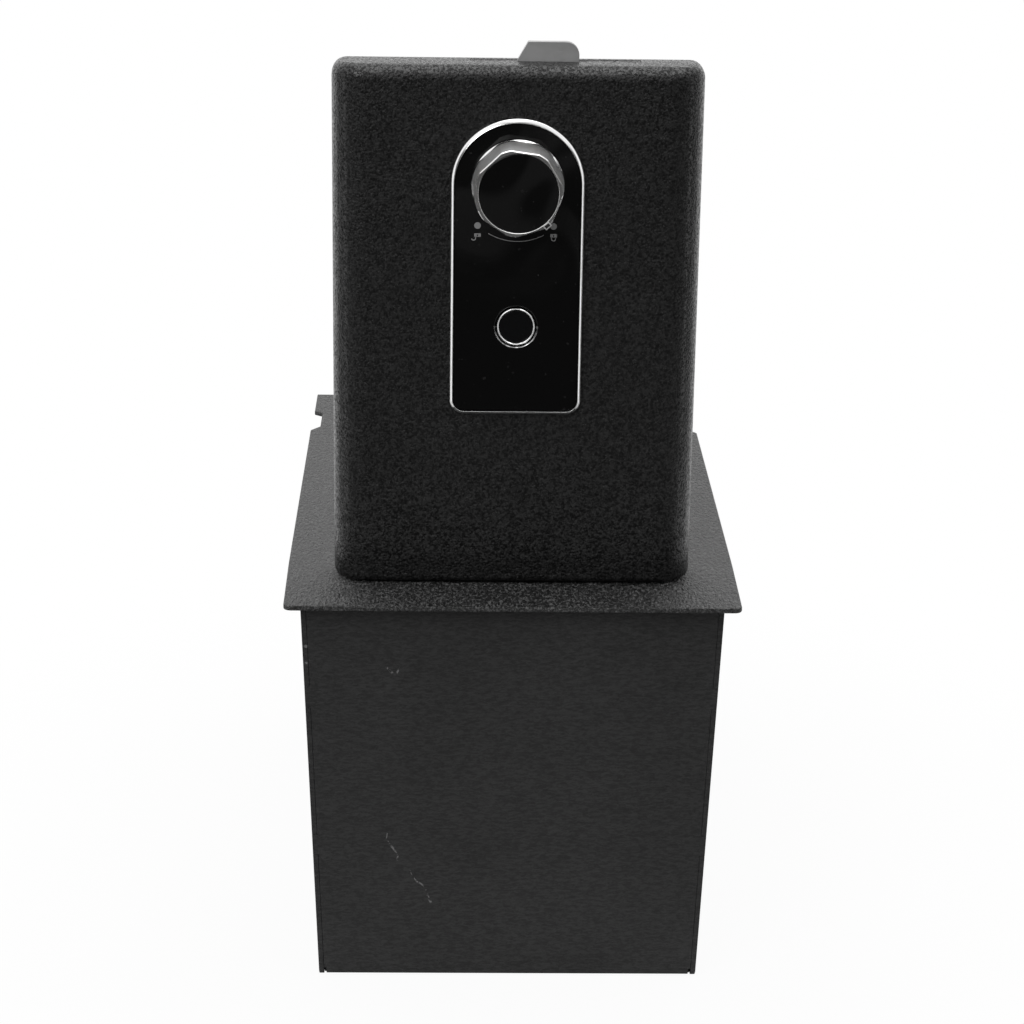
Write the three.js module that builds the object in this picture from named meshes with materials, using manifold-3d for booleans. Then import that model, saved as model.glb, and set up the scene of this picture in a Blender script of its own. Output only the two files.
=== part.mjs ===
// Console safe: a sheet-steel box that hangs by a flat rim plate in a vehicle's centre console.
// Its lid is a shallow steel tray on a piano hinge, with a fingerprint knob lock on its face.
// Millimetres, +X right, +Y away from the user, +Z up. The origin is under the middle of the floor.
// The lid is drawn as it lies when shut, then turned up by its opening angle to stand open.
import * as THREE from 'three';
import { mergeVertices } from 'three/addons/utils/BufferGeometryUtils.js';
import Module from 'manifold-3d';

const wasm = await Module();
wasm.setup();

// Driving sizes of the rim plate and the box below it
const rimSideOverhang = 6.7;
const rimLength = 288;
const rimSheet = 2;
const rimCornerRadius = 3;
const rimFrontTaper = 0.5;
const rimTaperLength = 50;
const rimNotchStart = 230;
const rimNotchEnd = 260;
const rimNotchDepth = 4.2;
const rimNotchSlope = 6;
const rimRearInset = 0.5;
const mouthWidth = 120;
const mouthLength = 166;
const mouthCornerRadius = 6;
const mouthMargin = 6;
const boxHeight = 160;
const boxSheet = 2;
const boxTopWidth = 164.6;
const boxBottomWidth = 152.2;
const boxEndSetback = 7;
const bendRadius = 3;
const bendReliefWidth = 0.8;
const bendReliefHeight = 3.4;
const panelCornerCut = 2;
const tabHeight = 8.6;
const tabCentres = [58, 121.5];
const anchorHoleRadius = 4.5;
const anchorSpacingX = 104;
const anchorSpacingY = 200;
const matThickness = 2;
const matCornerRadius = 8;

// Driving sizes of the lid and its hinge
const lidWidth = 140.5;
const lidLength = 203.5;
const lidDepth = 20;
const lidSheet = 2;
const lidSideRadius = 14;
const lidFarRadius = 5.5;
const lidHingeRadius = 2.5;
const lidLeastRadius = 0.4;
const lidOpenAngle = 90;
const openLidSetback = 26.5;
const hingeLength = 117;
const knuckleCount = 9;
const knuckleRadius = 2.4;
const pinRadius = 1.1;
const leafThickness = 1.5;
const fixedLeafWidth = 15;
const lidLeafWidth = 7;
const packerWidth = 9;
const hingeScrewCount = 5;
const hingeScrewRadius = 1.5;
const hingeScrewHeadRadius = 2.8;
const hingeScrewHeadHeight = 1;

// Driving sizes of the lock's outside, along the lid from its hinge wall
const knobPlace = 159.5;
const sensorPlace = 104.7;
const panelBottom = 70.5;
const panelWidth = 49.6;
const panelCornerRadius = 5;
const panelRimWidth = 1.2;
const panelRimHeight = 2.3;
const faceThickness = 1.7;
const gasketThickness = 0.5;
const knobBaseRadius = 17.8;
const knobTopRadius = 17;
const knobHeight = 14.8;
const knobSkirtHeight = 1.6;
const knobFlats = 7;
const knobFlatTopApothem = 15.5;
const knobFlatBaseApothem = 17.9;
const knobEdgeRound = 0.5;
const insertRadius = 14.8;
const insertThickness = 1.4;
const insertProud = 0.2;
const markerAngle = -45;
const markerLength = 3;
const markerWidth = 2;
const markerHeight = 0.3;
const markerRadialPlace = 16.1;
const sensorRadius = 7.4;
const sensorRingWidth = 1;
const sensorRingProud = 0.3;
const sensorWindowSink = 0.3;
const sensorWindowThickness = 1;
const dishRadius = 8.6;
const dishDepth = 1;
const sensorBodyRadius = 6;
const sensorPlugWidth = 6;
const sensorPlugHeight = 2;

// Driving sizes of the lock's working parts
const spindleRadius = 4;
const spindleSquare = 5.6;
const spindleReach = 10;
const squareRise = 1;
const bushRadius = 6;
const bushLength = 9;
const nutAcrossFlats = 17;
const nutThickness = 3;
const camThickness = 3;
const camAboveRim = 3.3;
const camEyeRadius = 11;
const tongueInner = -0.5;
const tongueOuter = 22.7;
const tongueReach = 51.2;
const tongueCornerRadius = 5;
const tongueSlantWidth = 4;
const tongueSlantLength = 7;
const tongueEdgeLength = 6;
const camSlotLeft = -18.2;
const camSlotRight = 46;
const discRadius = 11;
const discThickness = 3;
const discAboveRim = 9;
const washerThickness = 0.6;
const washerRadius = 5;
const camScrewHeadRadius = 4;
const camScrewHeadHeight = 1.6;
const camScrewShankRadius = 1.5;
const camScrewLength = 9;
const setScrewRadius = 1.5;
const setScrewLength = 6;
const setScrewAngle = -100;
const setScrewHeight = 4;
const plungerRadius = 2;
const plungerTravel = 3;
const plungerLength = 25;
const coilStandoff = 12;
const coilRadius = 5.4;
const coilLength = 15;
const coilFrameSheet = 1.5;
const coilFrameMargin = 0.6;

// Driving sizes of the battery case, the board and the screws behind the lock
const chassisSheet = 1.1;
const chassisWidth = 43;
const chassisFlare = 3;
const chassisMargin = 5;
const caseWall = 1.4;
const caseSideRoom = 0.65;
const caseLength = 60;
const caseLipWidth = 1.2;
const caseLipThickness = 0.8;
const boardThickness = 1.2;
const boardLength = 54;
const batteryRadius = 5.25;
const batteryLength = 44.5;
const batteryTipRadius = 1.9;
const batteryTipLength = 0.8;
const batteryEdge = 0.4;
const batteryCount = 3;
const batteryPitch = 11;
const contactThickness = 0.4;
const contactReach = 0.75;
const contactGap = 1.2;
const coverThickness = 1.3;
const coverRibCount = 5;
const coverRibPitch = 2.4;
const coverRibStart = 5;
const coverRibLength = 16;
const coverRibWidth = 1;
const coverRibHeight = 0.5;
const lockScrewRadius = 1.5;
const lockScrewHeadRadius = 2.3;
const lockScrewHeadHeight = 1.8;
const lockBossRadius = 2.5;
const lockBossMargin = 0.2;
const leadRadius = 1.1;

// Driving sizes of the strike that the cam's tongue turns into behind the shut lid
const strikeSheet = 2;
const strikeHeight = 14;
const strikeLength = 88;
const strikeGap = 1.5;
const strikeTongueRoom = 2;
const strikeSlotRoom = 1;

// Clearances
const runningGap = 0.3;
const seamGap = 0.1;
const slotGap = 0.5;
const camSlotGap = 0.8;
const notchGap = 0.4;
const matGap = 1;

// Heights and places that follow from the sizes above
const rimWidth = boxTopWidth + 2 * rimSideOverhang;
const rimUnderside = boxHeight;
const rimTop = boxHeight + rimSheet;
const rimFrontY = -rimLength / 2;
const boxHalfLength = rimLength / 2 - boxEndSetback;
const hingeInset = lidSheet + knuckleRadius + runningGap;
const lidRimY = rimFrontY + openLidSetback + lidDepth;
const hingeY = lidRimY - hingeInset;
const hingeZ = rimTop + runningGap + hingeInset;
const shutLidY = hingeY - hingeInset;
const lidInside = lidDepth - lidSheet;
const faceBottom = lidDepth + gasketThickness;
const faceTop = faceBottom + faceThickness;
const knobBottom = faceTop + runningGap;
const knobTop = knobBottom + knobHeight;
const chassisBack = lidInside - chassisSheet;
const caseFloor = chassisBack - caseWall;
const boardTop = caseFloor - runningGap;
const boardBack = boardTop - boardThickness;
const batteryAxis = boardBack - runningGap - batteryRadius;
const coverTop = batteryAxis - batteryRadius - runningGap;
const coverBack = coverTop - coverThickness;
const caseBack = coverBack - runningGap - caseLipThickness;
const caseHalfInside = ((batteryCount - 1) * batteryPitch) / 2 + batteryRadius + caseSideRoom;
const lockScrewReach = panelWidth / 2 - panelRimWidth - lockBossRadius - lockBossMargin;
const lockScrewBottomPlace = panelBottom + panelCornerRadius;
const lockScrewTopStep = lockScrewReach * Math.SQRT1_2;
const caseBottom = lockScrewBottomPlace + lockScrewHeadRadius + runningGap;
const caseTop = caseBottom + caseLength;
const batteryPlace = caseBottom + caseWall + 2 * contactGap;
const camTop = camAboveRim + camThickness;
const discMiddle = discAboveRim + discThickness / 2;
const spindleTop = knobBottom + spindleReach;
const squareTop = camTop + squareRise;
const plungerTip = -(discRadius + 4 * runningGap);
const coilFront = plungerTip - coilStandoff;
const coilBack = coilFront - coilLength;
const strikeFront = shutLidY + lidLength + strikeGap;
const tongueTipY = shutLidY + knobPlace + tongueReach;
const strikeBack = tongueTipY + strikeTongueRoom + strikeSheet;

// Finishes
const finishes = {
  texturedCoat: { color: 0x191919, roughness: 0.72, metalness: 0.25 },
  smoothCoat: { color: 0x2b2b2b, roughness: 0.5, metalness: 0.35 },
  zincSteel: { color: 0x8f9193, roughness: 0.42, metalness: 0.9 },
  chrome: { color: 0xd9dadc, roughness: 0.12, metalness: 1 },
  glossBlack: { color: 0x0a0a0b, roughness: 0.16, metalness: 0 },
  mattBlack: { color: 0x17181a, roughness: 0.6, metalness: 0 },
  glass: { color: 0x0b0c0e, roughness: 0.08, metalness: 0 },
  brass: { color: 0xb08d45, roughness: 0.35, metalness: 0.9 },
  copper: { color: 0x9a4f2a, roughness: 0.4, metalness: 0.7 },
  board: { color: 0x1d5a36, roughness: 0.5, metalness: 0 },
  cell: { color: 0xc9ccd0, roughness: 0.35, metalness: 0.5 },
  rubber: { color: 0x141414, roughness: 0.85, metalness: 0 },
  felt: { color: 0x1c1c1e, roughness: 0.95, metalness: 0 },
};

// Solids made and cut with boolean steps
function solid(geometry) {
  const plain = geometry.clone();
  plain.deleteAttribute('normal');
  plain.deleteAttribute('uv');
  const merged = mergeVertices(plain, 1e-5);
  const vertProperties = new Float32Array(merged.attributes.position.array);
  const triVerts = new Uint32Array(merged.index.array);
  return new wasm.Manifold(new wasm.Mesh({ numProp: 3, vertProperties, triVerts }));
}

function geometryOf(body) {
  const mesh = body.getMesh();
  const geometry = new THREE.BufferGeometry();
  geometry.setAttribute('position', new THREE.BufferAttribute(new Float32Array(mesh.vertProperties), 3));
  geometry.setIndex(new THREE.BufferAttribute(new Uint32Array(mesh.triVerts), 1));
  geometry.computeVertexNormals();
  return geometry;
}

// A cutting tool runs 1 mm past each face that it opens
function cut(body, ...tools) {
  return tools.reduce((rest, tool) => rest.subtract(tool), body);
}

function join(...bodies) {
  return bodies.reduce((sum, body) => sum.add(body));
}

// A block between two corners
function block(x0, x1, y0, y1, z0, z1) {
  const geometry = new THREE.BoxGeometry(x1 - x0, y1 - y0, z1 - z0);
  return solid(geometry.translate((x0 + x1) / 2, (y0 + y1) / 2, (z0 + z1) / 2));
}

// A round bar along Z, and the same laid along X
function bar(radius, x, y, z0, z1, sides = 28) {
  const geometry = new THREE.CylinderGeometry(radius, radius, z1 - z0, sides);
  return solid(geometry.rotateX(Math.PI / 2).translate(x, y, (z0 + z1) / 2));
}

function barAlongX(radius, x0, x1, y, z, sides = 24) {
  const geometry = new THREE.CylinderGeometry(radius, radius, x1 - x0, sides);
  return solid(geometry.rotateZ(Math.PI / 2).translate((x0 + x1) / 2, y, z));
}

// A flat shape in X and Y, raised from z0 to z1
function raised(shape, z0, z1, curveSegments = 7) {
  const settings = { depth: z1 - z0, bevelEnabled: false, curveSegments };
  return solid(new THREE.ExtrudeGeometry(shape, settings).translate(0, 0, z0));
}

// A shape in Y and Z, drawn out along X
function alongX(shape, x0, x1, curveSegments = 6) {
  const settings = { depth: x1 - x0, bevelEnabled: false, curveSegments };
  const geometry = new THREE.ExtrudeGeometry(shape, settings);
  const turn = new THREE.Matrix4().makeBasis(
    new THREE.Vector3(0, 1, 0),
    new THREE.Vector3(0, 0, 1),
    new THREE.Vector3(1, 0, 0),
  );
  return solid(geometry.applyMatrix4(turn).translate(x0, 0, 0));
}

// A shape in X and Z, drawn out along Y
function alongY(shape, y0, y1) {
  const settings = { depth: y1 - y0, bevelEnabled: false };
  const geometry = new THREE.ExtrudeGeometry(shape, settings);
  return solid(geometry.rotateX(Math.PI / 2).translate(0, y1, 0));
}

// A turned body about the Z line through x and y, from radius and height pairs
function turned(profile, x, y, sides = 36) {
  const points = profile.map(([radius, height]) => new THREE.Vector2(radius, height));
  return solid(new THREE.LatheGeometry(points, sides).rotateX(Math.PI / 2).translate(x, y, 0));
}

function polygon(points) {
  return new THREE.Shape(points.map(([a, b]) => new THREE.Vector2(a, b)));
}

function roundedRectangle(x0, x1, y0, y1, radius) {
  const shape = new THREE.Shape();
  shape.moveTo(x0 + radius, y0);
  shape.lineTo(x1 - radius, y0);
  shape.absarc(x1 - radius, y0 + radius, radius, -Math.PI / 2, 0);
  shape.lineTo(x1, y1 - radius);
  shape.absarc(x1 - radius, y1 - radius, radius, 0, Math.PI / 2);
  shape.lineTo(x0 + radius, y1);
  shape.absarc(x0 + radius, y1 - radius, radius, Math.PI / 2, Math.PI);
  shape.lineTo(x0, y0 + radius);
  shape.absarc(x0 + radius, y0 + radius, radius, Math.PI, 1.5 * Math.PI);
  return shape;
}

// The lock panel's outline: round above the knob, square with small corners below the sensor
function arch(inset) {
  const half = panelWidth / 2 - inset;
  const corner = panelCornerRadius - inset;
  const foot = panelBottom + inset;
  const shape = new THREE.Shape();
  shape.moveTo(-half + corner, foot);
  shape.lineTo(half - corner, foot);
  shape.absarc(half - corner, foot + corner, corner, -Math.PI / 2, 0);
  shape.lineTo(half, knobPlace);
  shape.absarc(0, knobPlace, half, 0, Math.PI);
  shape.lineTo(-half, foot + corner);
  shape.absarc(-half + corner, foot + corner, corner, Math.PI, 1.5 * Math.PI);
  return shape;
}

// One round-cornered loop of points at a height, for bodies made of stacked loops. The two corners
// at its low end and the two at its high end have radii of their own.
function loopAt(halfWidth, y0, y1, lowRadius, highRadius, height) {
  const cornerSteps = 6;
  const middles = [
    [halfWidth - lowRadius, y0 + lowRadius, -90, lowRadius],
    [halfWidth - highRadius, y1 - highRadius, 0, highRadius],
    [-halfWidth + highRadius, y1 - highRadius, 90, highRadius],
    [-halfWidth + lowRadius, y0 + lowRadius, 180, lowRadius],
  ];
  return middles.flatMap(([x, y, start, radius]) => Array.from({ length: cornerSteps + 1 }, (_, step) => {
    const angle = THREE.MathUtils.degToRad(start + (90 * step) / cornerSteps);
    return new THREE.Vector3(x + radius * Math.cos(angle), y + radius * Math.sin(angle), height);
  }));
}

// A closed body from loops of equal length, each end closed by a fan
function stackLoops(loops) {
  const count = loops[0].length;
  const points = loops.flat();
  const faces = [];
  for (let level = 0; level + 1 < loops.length; level += 1) {
    for (let i = 0; i < count; i += 1) {
      const next = (i + 1) % count;
      const low = level * count;
      const high = low + count;
      faces.push(low + i, low + next, high + next, low + i, high + next, high + i);
    }
  }
  const last = (loops.length - 1) * count;
  for (let i = 1; i + 1 < count; i += 1) {
    faces.push(0, i + 1, i);
    faces.push(last, last + i, last + i + 1);
  }
  const geometry = new THREE.BufferGeometry().setFromPoints(points);
  geometry.setIndex(faces);
  return solid(geometry);
}

const safe = new THREE.Group();
const lid = new THREE.Group();
lid.position.set(0, lidRimY, rimTop + runningGap);
lid.rotation.x = THREE.MathUtils.degToRad(lidOpenAngle);
safe.add(lid);

function place(parent, name, body, finish) {
  const mesh = new THREE.Mesh(geometryOf(body), new THREE.MeshStandardMaterial(finishes[finish]));
  mesh.name = name;
  parent.add(mesh);
}

// The box: one sheet bent into front, floor and rear, and two leaning side panels tabbed into it
function boxHalfWidth(height) {
  return (boxBottomWidth + ((boxTopWidth - boxBottomWidth) * height) / boxHeight) / 2;
}

function boxWidthShape(inset) {
  const foot = boxHalfWidth(0) - inset;
  const head = boxHalfWidth(boxHeight) - inset;
  return polygon([[-foot, 0], [foot, 0], [head, boxHeight], [-head, boxHeight]]);
}

function bentSheetShape() {
  const outer = boxHalfLength;
  const inner = boxHalfLength - boxSheet;
  const bend = boxHalfLength - bendRadius;
  const innerBend = bendRadius - boxSheet;
  const shape = new THREE.Shape();
  shape.moveTo(-outer, boxHeight);
  shape.lineTo(-outer, bendRadius);
  shape.absarc(-bend, bendRadius, bendRadius, Math.PI, 1.5 * Math.PI);
  shape.lineTo(bend, 0);
  shape.absarc(bend, bendRadius, bendRadius, -Math.PI / 2, 0);
  shape.lineTo(outer, boxHeight);
  shape.lineTo(inner, boxHeight);
  shape.lineTo(inner, bendRadius);
  shape.absarc(bend, bendRadius, innerBend, 0, -Math.PI / 2, true);
  shape.lineTo(-bend, boxSheet);
  shape.absarc(-bend, bendRadius, innerBend, -Math.PI / 2, -Math.PI, true);
  shape.lineTo(-inner, boxHeight);
  return shape;
}

function tabBands(gap) {
  const reach = boxTopWidth;
  const bands = tabCentres.map((middle) => {
    const half = tabHeight / 2 + gap;
    return block(-reach, reach, -rimLength, rimLength, middle - half, middle + half);
  });
  return join(...bands);
}

function bodyWrap() {
  const outer = alongY(boxWidthShape(0), -rimLength / 2, rimLength / 2);
  const inner = alongY(boxWidthShape(boxSheet + seamGap), -rimLength / 2, rimLength / 2);
  const reach = inner.add(outer.intersect(tabBands(0)));
  const sheet = alongX(bentSheetShape(), -boxTopWidth / 2, boxTopWidth / 2);
  const reliefStart = boxHalfWidth(0) - boxSheet - seamGap - bendReliefWidth;
  const reliefs = [-1, 1].flatMap((side) => [-1, 1].map((end) => block(
    Math.min(side * reliefStart, side * boxTopWidth),
    Math.max(side * reliefStart, side * boxTopWidth),
    Math.min(end * (boxHalfLength - bendReliefHeight), end * rimLength),
    Math.max(end * (boxHalfLength - bendReliefHeight), end * rimLength),
    -1,
    bendReliefHeight,
  )));
  const holes = [-1, 1].flatMap((side) => [-1, 1].map((end) => bar(
    anchorHoleRadius,
    (side * anchorSpacingX) / 2,
    (end * anchorSpacingY) / 2,
    -1,
    boxSheet + 1,
  )));
  return cut(sheet.intersect(reach), ...reliefs, ...holes);
}

function sidePanel(side) {
  const foot = boxHalfWidth(0);
  const head = boxHalfWidth(boxHeight);
  const leaning = alongY(polygon(side > 0
    ? [[foot - boxSheet, 0], [foot, 0], [head, boxHeight], [head - boxSheet, boxHeight]]
    : [[-foot, 0], [-foot + boxSheet, 0], [-head + boxSheet, boxHeight], [-head, boxHeight]]),
  -boxHalfLength, boxHalfLength);
  const bands = tabBands(seamGap);
  const ends = [-1, 1].map((end) => {
    const inner = end * (boxHalfLength - boxSheet - seamGap);
    const outer = end * rimLength;
    const near = Math.min(inner, outer);
    const far = Math.max(inner, outer);
    return block(-boxTopWidth, boxTopWidth, near, far, 0, boxHeight).intersect(bands);
  });
  const corners = [-1, 1].map((end) => {
    const edge = end * boxHalfLength;
    const triangle = [[edge - end * panelCornerCut, 0], [edge, 0], [edge, panelCornerCut]];
    return alongX(polygon(end > 0 ? triangle : triangle.reverse()), -boxTopWidth, boxTopWidth);
  });
  return cut(leaning, ...ends, ...corners);
}

function floorMat() {
  const halfWidth = boxHalfWidth(boxSheet) - boxSheet - matGap;
  const halfLength = boxHalfLength - boxSheet - matGap;
  const shape = roundedRectangle(-halfWidth, halfWidth, -halfLength, halfLength, matCornerRadius);
  return raised(shape, boxSheet, boxSheet + matThickness);
}

place(safe, 'body_wrap', bodyWrap(), 'smoothCoat');
place(safe, 'side_panel_left', sidePanel(-1), 'smoothCoat');
place(safe, 'side_panel_right', sidePanel(1), 'smoothCoat');
place(safe, 'floor_mat', floorMat(), 'felt');

// The rim plate: a flat flange that rests on the console's edge, notched near its rear corners
const mouthFrontY = lidRimY + runningGap + packerWidth + mouthMargin;
const mouthRearY = mouthFrontY + mouthLength;

function rimOutline() {
  const half = rimWidth / 2;
  const front = half - rimFrontTaper;
  const rear = half - rimRearInset;
  const notch = half - rimNotchDepth;
  const frontY = rimFrontY;
  const rearY = rimLength / 2;
  const side = [
    [half, frontY + rimTaperLength],
    [half, frontY + rimNotchStart],
    [notch, frontY + rimNotchStart + rimNotchSlope],
    [notch, frontY + rimNotchEnd - rimNotchSlope / 2],
    [rear, frontY + rimNotchEnd],
    [rear, rearY],
  ];
  const shape = new THREE.Shape();
  shape.moveTo(-front + rimCornerRadius, frontY);
  shape.lineTo(front - rimCornerRadius, frontY);
  shape.absarc(front - rimCornerRadius, frontY + rimCornerRadius, rimCornerRadius, -Math.PI / 2, 0);
  side.forEach(([x, y]) => shape.lineTo(x, y));
  side.reverse().forEach(([x, y]) => shape.lineTo(-x, y));
  shape.absarc(-front + rimCornerRadius, frontY + rimCornerRadius, rimCornerRadius, Math.PI, 1.5 * Math.PI);
  return shape;
}

function rimPlate() {
  const plate = raised(rimOutline(), rimUnderside, rimTop);
  const half = mouthWidth / 2;
  const mouth = roundedRectangle(-half, half, mouthFrontY, mouthRearY, mouthCornerRadius);
  return cut(plate, raised(mouth, rimUnderside - 1, rimTop + 1));
}

// The strike: a folded channel welded to the plate, slotted for the cam's tongue
function strikeChannel() {
  const middle = (tongueInner + tongueOuter) / 2;
  const left = middle - strikeLength / 2;
  const right = middle + strikeLength / 2;
  const base = rimTop;
  const head = rimTop + strikeHeight;
  const folded = polygon([
    [strikeFront, base],
    [strikeFront + strikeSheet, base],
    [strikeFront + strikeSheet, head - strikeSheet],
    [strikeBack - strikeSheet, head - strikeSheet],
    [strikeBack - strikeSheet, base],
    [strikeBack, base],
    [strikeBack, head],
    [strikeFront, head],
  ]);
  const camBase = rimTop + runningGap + camAboveRim;
  const slot = block(
    camSlotLeft,
    camSlotRight,
    strikeFront - 1,
    strikeFront + strikeSheet + 1,
    camBase - strikeSlotRoom,
    camBase + camThickness + strikeSlotRoom,
  );
  return cut(alongX(folded, left, right), slot);
}

place(safe, 'rim_plate', rimPlate(), 'smoothCoat');
place(safe, 'strike_channel', strikeChannel(), 'smoothCoat');

// The piano hinge: leaves with alternate knuckles on one pin, the fixed one on a packer strip
const knuckleLength = hingeLength / knuckleCount;
const fixedLeafBottom = hingeZ - knuckleRadius;
const fixedLeafTop = fixedLeafBottom + leafThickness;
const fixedLeafRear = hingeY + fixedLeafWidth;
const hingeScrewY = fixedLeafRear - packerWidth / 2;

function knuckles(firstIndex, y, z) {
  const parts = [];
  for (let index = firstIndex; index < knuckleCount; index += 2) {
    const start = -hingeLength / 2 + index * knuckleLength + runningGap / 2;
    parts.push(barAlongX(knuckleRadius, start, start + knuckleLength - runningGap, y, z, 16));
  }
  return join(...parts);
}

function gapsBeside(firstIndex, y0, y1, z0, z1) {
  const parts = [];
  for (let index = firstIndex; index < knuckleCount; index += 2) {
    const start = -hingeLength / 2 + index * knuckleLength - runningGap / 2;
    parts.push(block(start, start + knuckleLength + runningGap, y0, y1, z0, z1));
  }
  return join(...parts);
}

function hingeScrewPlaces() {
  const pitch = hingeLength / hingeScrewCount;
  return Array.from({ length: hingeScrewCount }, (_, index) => pitch * (index + 0.5) - hingeLength / 2);
}

function hingeScrewHoles() {
  const radius = hingeScrewRadius + runningGap;
  return hingeScrewPlaces().map((x) => bar(radius, x, hingeScrewY, rimTop - 1, fixedLeafTop + 1, 16));
}

function hingeLeafFixed() {
  const end = hingeLength / 2;
  const leaf = block(-end, end, hingeY, fixedLeafRear, fixedLeafBottom, fixedLeafTop);
  const reach = hingeY + knuckleRadius + runningGap;
  const spaces = gapsBeside(1, hingeY - 1, reach, fixedLeafBottom - 1, fixedLeafTop + 1);
  const bore = barAlongX(pinRadius + runningGap, -hingeLength, hingeLength, hingeY, hingeZ, 16);
  return cut(join(leaf.subtract(spaces), knuckles(0, hingeY, hingeZ)), bore, ...hingeScrewHoles());
}

function hingePacker() {
  const strip = block(
    -hingeLength / 2,
    hingeLength / 2,
    fixedLeafRear - packerWidth,
    fixedLeafRear,
    rimTop,
    fixedLeafBottom,
  );
  return cut(strip, ...hingeScrewHoles());
}

function hingeScrew(x) {
  return turned([
    [0, rimTop],
    [hingeScrewRadius, rimTop],
    [hingeScrewRadius, fixedLeafTop],
    [hingeScrewHeadRadius, fixedLeafTop],
    [hingeScrewHeadRadius, fixedLeafTop + hingeScrewHeadHeight / 2],
    [hingeScrewHeadRadius * 0.7, fixedLeafTop + hingeScrewHeadHeight],
    [0, fixedLeafTop + hingeScrewHeadHeight],
  ], x, hingeScrewY, 16);
}

function hingeLeafLid() {
  const leaf = block(
    -hingeLength / 2,
    hingeLength / 2,
    lidSheet,
    lidSheet + leafThickness,
    hingeInset,
    hingeInset + lidLeafWidth,
  );
  const spaces = gapsBeside(0, 0, lidDepth, hingeInset - 1, hingeInset + knuckleRadius + runningGap);
  const bore = barAlongX(pinRadius + runningGap, -hingeLength, hingeLength, hingeInset, hingeInset, 16);
  return cut(join(leaf.subtract(spaces), knuckles(1, hingeInset, hingeInset)), bore);
}

function hingePin() {
  return barAlongX(pinRadius, -hingeLength / 2, hingeLength / 2, hingeY, hingeZ, 16);
}

place(safe, 'hinge_packer', hingePacker(), 'smoothCoat');
place(safe, 'hinge_leaf_fixed', hingeLeafFixed(), 'zincSteel');
hingeScrewPlaces().forEach((x, index) => {
  place(safe, `hinge_screw_${index + 1}`, hingeScrew(x), 'zincSteel');
});
place(safe, 'hinge_pin', hingePin(), 'zincSteel');
place(lid, 'hinge_leaf_lid', hingeLeafLid(), 'zincSteel');

// The lid: a sheet folded down at both sides in a wide round bend, with end walls whose edges are
// rounded less. Its edge beside the hinge is rounded about the pin, so that it clears the plate as
// the lid turns.
function hingeEdgeCut() {
  const corner = block(-lidWidth, lidWidth, -1, hingeInset, -1, hingeInset);
  return corner.subtract(barAlongX(hingeInset, -lidWidth, lidWidth, hingeInset, hingeInset, 64));
}

// How far a wall has turned in at a height, where it meets a face at top in a round edge
function edgeInset(radius, top, height) {
  const rise = Math.max(0, height - (top - radius));
  return radius - Math.sqrt(radius ** 2 - rise ** 2);
}

// One loop around the lid, inside its outline by margin, at a height under a face at top
function lidLoop(margin, top, height) {
  const sideInset = margin + edgeInset(lidSideRadius - margin, top, height);
  const hingeTurn = edgeInset(Math.max(lidHingeRadius - margin, lidLeastRadius), top, height);
  const farTurn = edgeInset(Math.max(lidFarRadius - margin, lidLeastRadius), top, height);
  return loopAt(
    lidWidth / 2 - sideInset,
    margin + hingeTurn,
    lidLength - margin - farTurn,
    Math.max(lidHingeRadius - margin - hingeTurn, lidLeastRadius),
    Math.max(lidFarRadius - margin - farTurn, lidLeastRadius),
    height,
  );
}

function lidShell() {
  const edgeSteps = 8;
  const loops = [];
  for (let step = edgeSteps; step >= 0; step -= 1) {
    const turn = Math.sin((Math.PI / 2) * (step / edgeSteps));
    const innerRadius = lidSideRadius - lidSheet;
    loops.push(lidLoop(lidSheet, lidInside, lidInside - innerRadius + innerRadius * turn));
  }
  loops.push(lidLoop(lidSheet, lidInside, 0));
  loops.push(lidLoop(0, lidDepth, 0));
  for (let step = 0; step <= edgeSteps; step += 1) {
    const turn = Math.sin((Math.PI / 2) * (step / edgeSteps));
    loops.push(lidLoop(0, lidDepth, lidDepth - lidSideRadius + lidSideRadius * turn));
  }
  const camSlot = block(
    camSlotLeft,
    camSlotRight,
    lidLength - lidSheet - 1,
    lidLength + 1,
    camAboveRim - camSlotGap,
    camTop + camSlotGap,
  );
  const holes = panelHoles(lockBossRadius, lidInside - 1, lidDepth + 1);
  return cut(stackLoops(loops), hingeEdgeCut(), camSlot, ...holes);
}

// The lock's outside: gasket, chrome rim, black face, fingerprint sensor
function lockScrewPlaces() {
  return [-1, 1].flatMap((side) => [
    [side * lockScrewReach, lockScrewBottomPlace],
    [side * lockScrewTopStep, knobPlace + lockScrewTopStep],
  ]);
}

function barsAtScrews(radius, z0, z1) {
  return lockScrewPlaces().map(([x, y]) => bar(radius, x, y, z0, z1, 16));
}

function panelHoles(radiusAtScrews, z0, z1) {
  return [
    bar(bushRadius + runningGap, 0, knobPlace, z0, z1),
    bar(sensorBodyRadius + runningGap, 0, sensorPlace, z0, z1),
    ...barsAtScrews(radiusAtScrews + runningGap, z0, z1),
  ];
}

function lockGasket() {
  const sheet = raised(arch(panelRimWidth / 2), lidDepth, faceBottom);
  return cut(sheet, ...panelHoles(lockBossRadius, lidDepth - 1, faceBottom + 1));
}

function lockRim() {
  const top = faceBottom + panelRimHeight;
  return cut(raised(arch(0), faceBottom, top), raised(arch(panelRimWidth), lidDepth, top + 1));
}

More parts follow.
